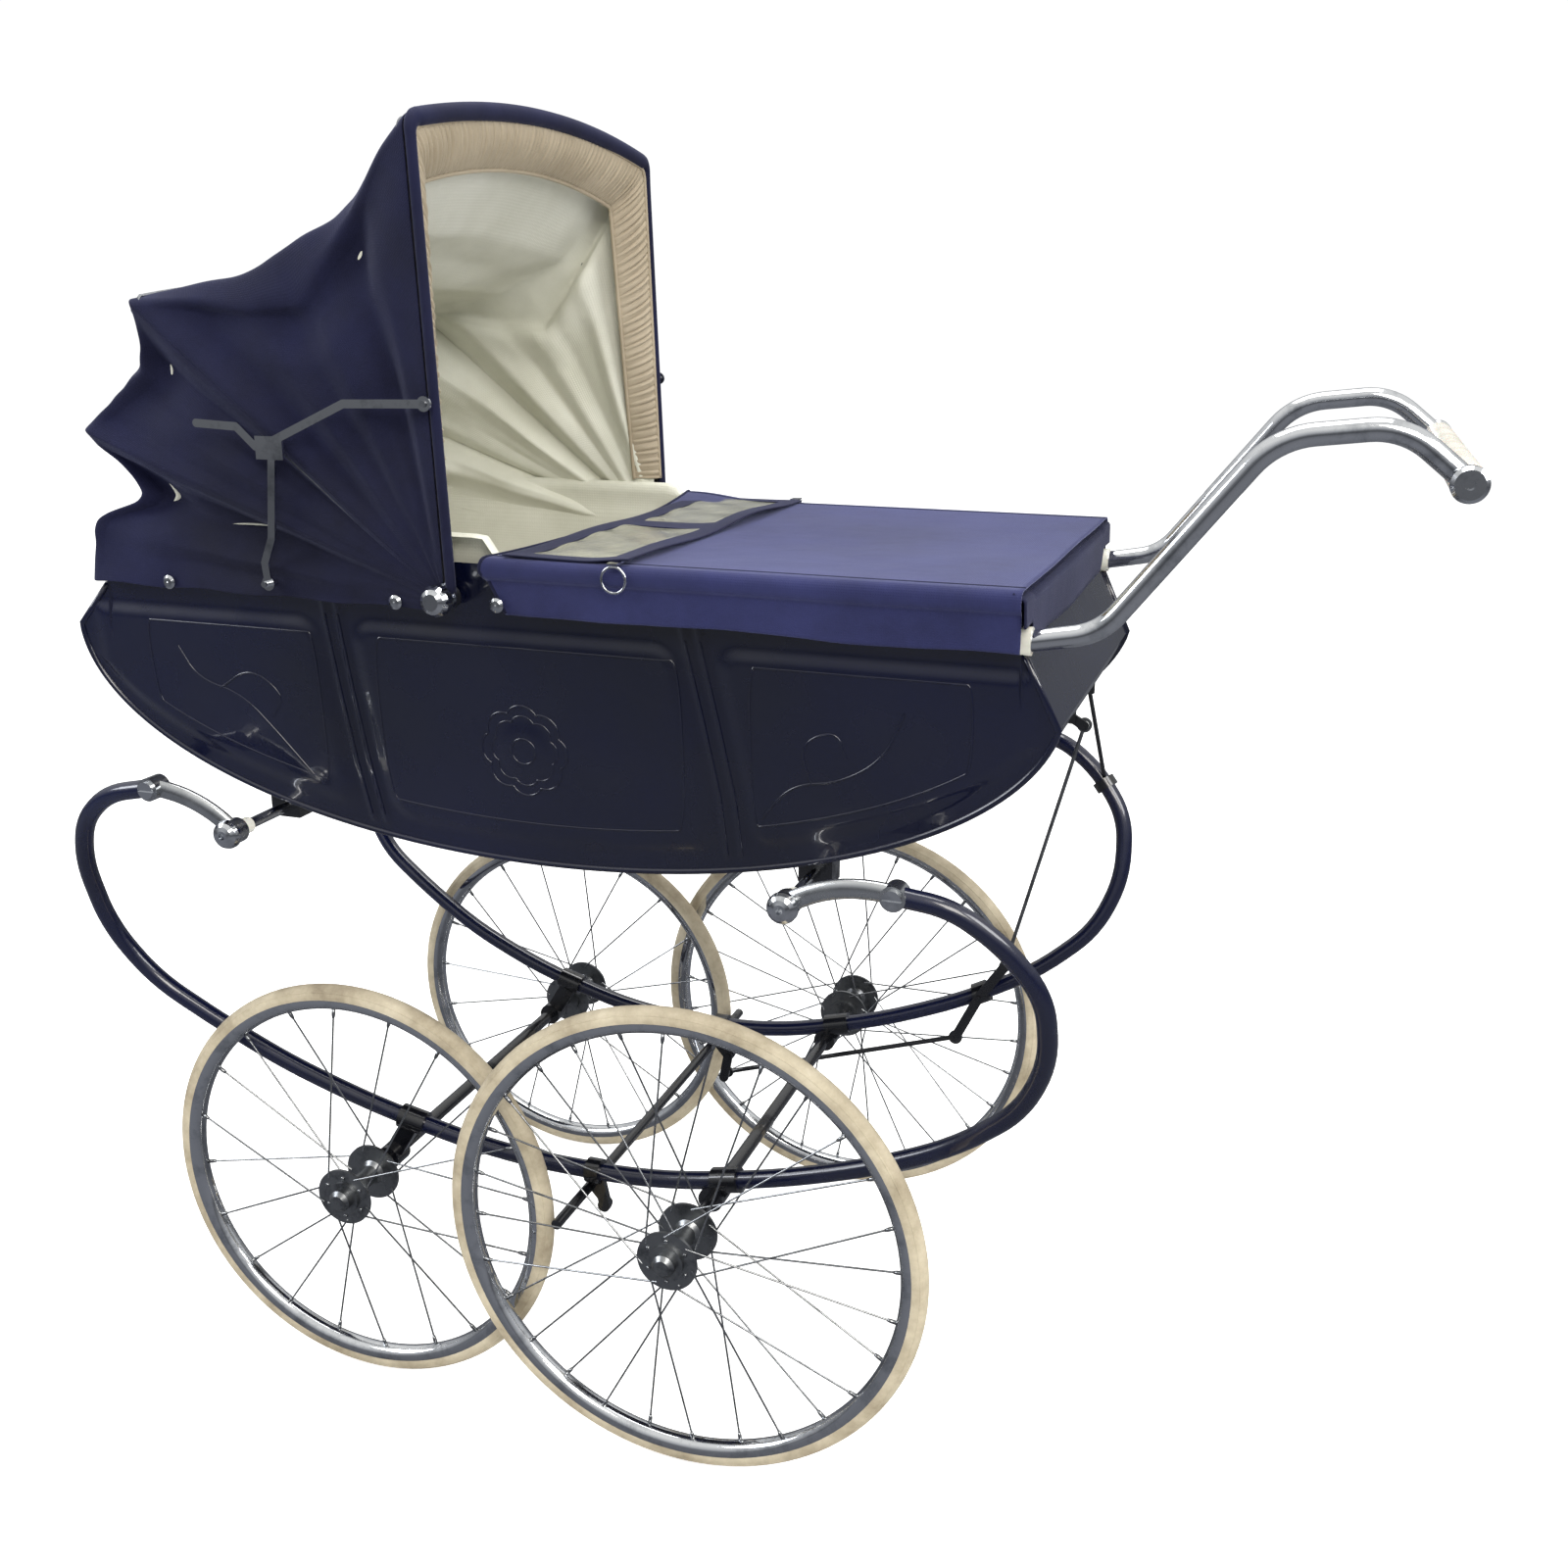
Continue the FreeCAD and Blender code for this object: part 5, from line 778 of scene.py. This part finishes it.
def apron():
    """The cover over the foot end: a laid top with rolled edges and hanging skirts."""
    x0, x1 = APRON_LO[0], APRON_HI[0]
    half, top, low = APRON_HI[1] - 0.001, APRON_HI[2] - 0.0005, APRON_LO[2]
    cols = 110
    # section across: skirt, rolled edge, top, rolled edge, skirt; s runs down the near skirt and over
    skirt = top - low
    prof = []
    for k in np.linspace(0, 1, 16):
        prof.append((-half + 0.0055 * smooth(0.93, 0.80, k), low + (skirt - 0.012) * k, 1 - k, "skirt"))
    for k in np.linspace(0, 1, 6)[1:]:
        a = math.pi / 2 * k
        prof.append((-half + 0.010 * (1 - math.cos(a)) - 0.0015 * math.sin(2 * a),
                     top - 0.012 + 0.012 * math.sin(a), 0, "edge"))
    tops = [(-half + 0.010 + (2 * half - 0.020) * k, top, 0, "top") for k in np.linspace(0, 1, 60)[1:-1]]
    right = [(-y, z, d, kind) for y, z, d, kind in prof[::-1]]
    full = prof + tops + right
    run = np.linspace(0, 1, cols)
    pts = np.zeros((cols, len(full), 3))
    for j, (y, z, down, kind) in enumerate(full):
        ahead = x0 + 0.004 - 0.016 * abs(y / half) ** 4 + 0.022 * down
        xs = ahead + (x1 - 0.003 - ahead) * run
        pts[:, j, 0], pts[:, j, 1], pts[:, j, 2] = xs, y, z
        pts[:, j, 2] += (1 - down) * 0.008 * smooth(0.10, half, y) * smooth(x0 + 0.09, x0, xs)
        if kind == "top":
            mid = (1 - (y / half) ** 2)
            lengthwise = np.sin(math.pi * (xs - x0) / (x1 - x0))
            pts[:, j, 2] -= 0.0016 * mid * lengthwise + 0.0007 * (1 + np.sin(xs * 31 + y * 19)) * mid
        if kind == "skirt":
            sign = -1 if y < 0 else 1
            pts[:, j, 1] += sign * (0.0016 * np.sin(xs * 34 + 1.0) + 0.0010 * np.sin(xs * 83)) * down
            pts[:, j, 2] += (0.0012 * np.sin(xs * 26) + 0.0015 * np.sin(xs * 9 + 2)) * down
    # the cover takes the lighter copy of the canvas, which is painted light
    obj = grid("apron_canvas", pts, APRON_LIT_CANVAS, flip=True)
    solidify(obj, 0.0014, 1.0)
    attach(obj, "carriage")
    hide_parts("apron_cover")
    # end skirt over the rear wall
    ys = np.linspace(-half + 0.001, half - 0.001, 70)
    rows = []
    for k in np.linspace(0, 1, 12):
        bend = 0.010 * (1 - math.cos(min(1, k * 5) * math.pi / 2)) if k < 0.2 else 0.010
        z = top - 0.0005 - (top - low - 0.024 * smooth(0.212, 0.226, np.abs(ys))) * k
        x = x1 - 0.010 + bend + 0.0018 * np.sin(ys * 22 + 1) * k
        rows.append(np.stack([x + 0 * ys, ys * (1 + 0.004 * k), z + 0.0012 * np.sin(ys * 30) * k], axis=-1))
    end = grid("apron_end_skirt", np.array(rows), CANVAS, flip=True)
    solidify(end, 0.0014)
    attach(end, "carriage")
    # bound edges
    for tag, line in (("front", pts[0]), ("left", pts[:, 21]), ("right", pts[:, len(full) - 22])):
        line = line.copy()
        if tag == "front":
            line[:, 2] += 0.0008
            line[:, 0] += 0.001
        piece = sweep("apron_binding_" + tag, line, circle(0.0022, 8), CANVAS,
                      up=(1, 0, 0) if tag == "front" else (0, 0, 1))
        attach(piece, "carriage")


apron()


def flap():
    """The storm flap: canvas frame round two clear windows, lying on the cover."""
    x0, x1, half, z0 = FLAP_LO[0], FLAP_HI[0], FLAP_HI[1], FLAP_LO[2]
    edge = 0.022
    nx, ny = 44, 150
    u = np.sort(np.concatenate([np.linspace(0, 1, nx), [edge / (x1 - x0), 1 - edge / (x1 - x0)]]))
    v = np.sort(np.concatenate([np.linspace(-1, 1, ny),
                                [-edge / half, edge / half, -(1 - edge / half), 1 - edge / half]]))
    gx, gy = np.meshgrid(x0 + (x1 - x0) * u, half * v)
    lift = 0.0012 * (1 + np.sin(gy * 26 + gx * 20)) + 0.0040 * smooth(x1 - 0.05, x1, gx) * (0.5 + 0.5 * np.sin(gy * 17))
    pts = np.stack([gx, gy, z0 + 0.0004 + lift], axis=-1)
    rows, cols = gx.shape
    whole, window = [], []
    for i in range(rows - 1):
        for j in range(cols - 1):
            cx, cy = (gx[i, j] + gx[i, j + 1]) / 2, abs(gy[i, j] + gy[i + 1, j]) / 2
            quad = (i * cols + j, i * cols + j + 1, (i + 1) * cols + j + 1, (i + 1) * cols + j)
            hole = x0 + edge < cx < x1 - edge and edge < cy < half - edge
            (window if hole else whole).append(quad)
    uv = np.stack([gx, gy], axis=-1).reshape(-1, 2)
    cloth = add_mesh("flap_canvas", pts.reshape(-1, 3), whole, CANVAS, uv)
    pane_pts = pts.copy()
    pane_pts[..., 2] += 0.0006 + 0.0008 * np.sin(gy * 90 + gx * 60)
    panes = add_mesh("flap_clear_panes", pane_pts.reshape(-1, 3), window, CLEAR, uv)
    for obj in (cloth, panes):
        used = np.zeros(rows * cols, bool)
        for poly in obj.data.polygons:
            used[list(poly.vertices)] = True
        bm_keep = [i for i in range(rows * cols) if not used[i]]
        bm = bmesh.new()
        bm.from_mesh(obj.data)
        bm.verts.ensure_lookup_table()
        bmesh.ops.delete(bm, geom=[bm.verts[i] for i in bm_keep], context="VERTS")
        bm.to_mesh(obj.data)
        bm.free()
    solidify(cloth, 0.0014, 1.0)
    solidify(panes, 0.0005, 1.0)
    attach(cloth, "storm_flap")
    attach(panes, "storm_flap")
    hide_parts("storm_flap")
    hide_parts("flap_windows")


flap()


# ---------------------------------------------------------------- wheel details
def wheel_details(end, side):
    """Spoke nipples at the rim and rivets on the hub's outer flange."""
    tag = "%s_%s" % (end, side)
    lo_, hi_ = (np.array(v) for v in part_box("tyre_" + tag))
    centre, radius = (lo_ + hi_) / 2, (hi_[2] - lo_[2]) / 2
    pairs = 7 if end == "rear" else 5
    sign = -1 if side == "left" else 1
    verts, faces = [], []

    def stud(start, way, r0, r1, length, sides=8):
        way = way / np.linalg.norm(way)
        a = np.cross(way, [0.3, 0.5, 0.8])
        a /= np.linalg.norm(a)
        b = np.cross(way, a)
        base = len(verts)
        for dist, r in ((0, r0), (length * 0.7, r0), (length, r1)):
            for k in range(sides):
                t = 2 * math.pi * k / sides
                verts.append(start + way * dist + (a * math.cos(t) + b * math.sin(t)) * r)
        for ring in range(2):
            for k in range(sides):
                faces.append((base + ring * sides + k, base + ring * sides + (k + 1) % sides,
                              base + (ring + 1) * sides + (k + 1) % sides, base + (ring + 1) * sides + k))
        faces.append(tuple(base + 2 * sides + k for k in range(sides)))
        faces.append(tuple(base + k for k in range(sides))[::-1])

    head_r, cross, pitch = 0.027, 2 if end == "rear" else 1, math.pi / pairs
    rim_r = radius - 0.0108 - 0.006 - 0.0104 + 0.0015
    for flange, reach in ((1, 0.033), (-1, -0.022)):
        for k in range(2 * pairs):
            way = 1 if k % 2 else -1
            turn = pitch * (k + (0.375 if flange > 0 else 0.875))
            far = turn + way * cross * pitch
            flip = -1 if sign < 0 else 1
            head = centre + np.array([flip * head_r * math.cos(turn), sign * (reach + way * 0.0017),
                                      head_r * math.sin(turn)])
            foot = centre + np.array([flip * rim_r * math.cos(far), sign * (flange * 0.0026 + way * 0.0009),
                                      rim_r * math.sin(far)])
            stud(foot + (foot - head) / np.linalg.norm(foot - head) * 0.001, head - foot, 0.0021, 0.0015, 0.011)
    face = 0.033 + 0.0015
    for k in range(6):
        t = 2 * math.pi * (k + 0.5) / 6
        spot = centre + np.array([0.0225 * math.cos(t), sign * face, 0.0225 * math.sin(t)])
        stud(spot, np.array([0, sign * 1.0, 0]), 0.0022, 0.0012, 0.0016)
    obj = add_mesh("wheel_nipples_" + tag, verts, faces, SPOKE_STEEL)
    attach(obj, "wheel_" + tag)
    # moulding lines on both shoulders of the tyre
    for shoulder in (1, -1):
        turn = np.linspace(0, 2 * math.pi, 240, endpoint=False)
        r = radius - 0.0108 + 0.0102 * math.cos(math.radians(62))
        y = shoulder * 0.0102 * math.sin(math.radians(62))
        line = np.stack([centre[0] + r * np.cos(turn), centre[1] + y + 0 * turn, centre[2] + r * np.sin(turn)], axis=-1)
        ring = sweep("tyre_rib_%s_%s" % (tag, "out" if shoulder > 0 else "in"), line, circle(0.0011, 6), TYRE,
                     closed=True, up=(0, 1, 0))
        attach(ring, "wheel_" + tag)


for end, side in WHEELS:
    wheel_details(end, side)


# ---------------------------------------------------------------- stage, light and camera
def stage():
    floor_mat, tree, shader = material("studio_floor", srgb("f4f4f2"), 0.9)
    tree.links.new(ramp(tree, noise(tree, 1.5, 2.0), [(0.3, srgb("f2f2f0")), (0.7, srgb("f7f7f5"))]),
                   shader.inputs["Base Color"])
    shader.inputs["Emission Color"].default_value = srgb("ffffff")
    seen = tree.nodes.new("ShaderNodeLightPath")
    glow = tree.nodes.new("ShaderNodeMath")
    glow.operation = "MULTIPLY"
    glow.inputs[1].default_value = 0.75
    tree.links.new(seen.outputs["Is Camera Ray"], glow.inputs[0])
    tree.links.new(glow.outputs["Value"], shader.inputs["Emission Strength"])
    dark = tree.nodes.new("ShaderNodeBsdfDiffuse")
    dark.inputs["Color"].default_value = srgb("5e6066")
    either = tree.nodes.new("ShaderNodeMixShader")
    tree.links.new(seen.outputs["Is Glossy Ray"], either.inputs["Fac"])
    tree.links.new(shader.outputs["BSDF"], either.inputs[1])
    tree.links.new(dark.outputs["BSDF"], either.inputs[2])
    tree.links.new(either.outputs["Shader"], tree.nodes["Material Output"].inputs["Surface"])
    pts = np.array([[[-9, -9, -0.0006], [9, -9, -0.0006]], [[-9, 9, -0.0006], [9, 9, -0.0006]]], float)
    grid("floor", pts, floor_mat)
    world = bpy.data.worlds.new("studio")
    world.use_nodes = True
    bpy.context.scene.world = world
    bpy.context.scene.view_settings.view_transform = "Standard"
    tree = world.node_tree
    back = tree.nodes["Background"]
    where = tree.nodes.new("ShaderNodeTexCoord")
    split = tree.nodes.new("ShaderNodeSeparateXYZ")
    tree.links.new(where.outputs["Generated"], split.inputs["Vector"])
    colours = ramp(tree, to_range(tree, split.outputs["Z"], 0.0, 1.0, -1.0, 1.0), [
        (0.0, srgb("3c3e42")), (0.50, srgb("6a6c70")), (0.62, srgb("b0b2b6")), (0.85, srgb("f4f4f2"))])
    view = tree.nodes.new("ShaderNodeLightPath")
    mix = tree.nodes.new("ShaderNodeMix")
    mix.data_type = "RGBA"
    tree.links.new(view.outputs["Is Camera Ray"], mix.inputs["Factor"])
    tree.links.new(colours, mix.inputs["A"])
    mix.inputs["B"].default_value = (1.15, 1.15, 1.15, 1.0)
    tree.links.new(mix.outputs["Result"], back.inputs["Color"])
    back.inputs["Strength"].default_value = 0.9
    for name, place, target, size_, power, colour in (
            ("key", (1.6, -2.6, 3.0), (0, 0, 0.7), 1.6, 62, "fffaf2"),
            ("left_soft", (-2.8, -1.6, 2.2), (-0.2, 0, 0.6), 1.4, 45, "f4f8ff"),
            ("top", (0.0, 0.4, 3.4), (0, 0, 0.8), 2.0, 60, "ffffff"),
            ("inside", (1.6, -0.5, 1.7), (-0.4, 0.1, 1.0), 0.8, 14, "ffffff")):
        data = bpy.data.lights.new(name, "AREA")
        data.shape, data.size, data.energy, data.color = "SQUARE", size_, power, srgb(colour)[:3]
        lamp = bpy.data.objects.new(name, data)
        lamp.location = place
        lamp.rotation_euler = (Vector(target) - Vector(place)).to_track_quat("-Z", "Y").to_euler()
        bpy.context.scene.collection.objects.link(lamp)


def camera():
    yaw, pitch, roll = (math.radians(v) for v in (18.539, 16.762, -0.365))
    forward = Vector((-math.sin(yaw) * math.cos(pitch), math.cos(yaw) * math.cos(pitch), -math.sin(pitch)))
    right = forward.cross(Vector((0, 0, 1))).normalized()
    down = forward.cross(right)
    c, s_ = math.cos(roll), math.sin(roll)
    x_axis, y_axis = right * c + down * s_, -right * s_ + down * c
    data = bpy.data.cameras.new("main_view")
    data.lens, data.sensor_width = 36.98, 36.0
    cam = bpy.data.objects.new("main_view", data)
    cam.matrix_world = Matrix((
        (x_axis.x, -y_axis.x, -forward.x, 0.54119 + OX),
        (x_axis.y, -y_axis.y, -forward.y, -1.59306),
        (x_axis.z, -y_axis.z, -forward.z, 1.15354), (0, 0, 0, 1)))
    bpy.context.scene.collection.objects.link(cam)
    bpy.context.scene.camera = cam


stage()
camera()
bpy.context.view_layer.update()
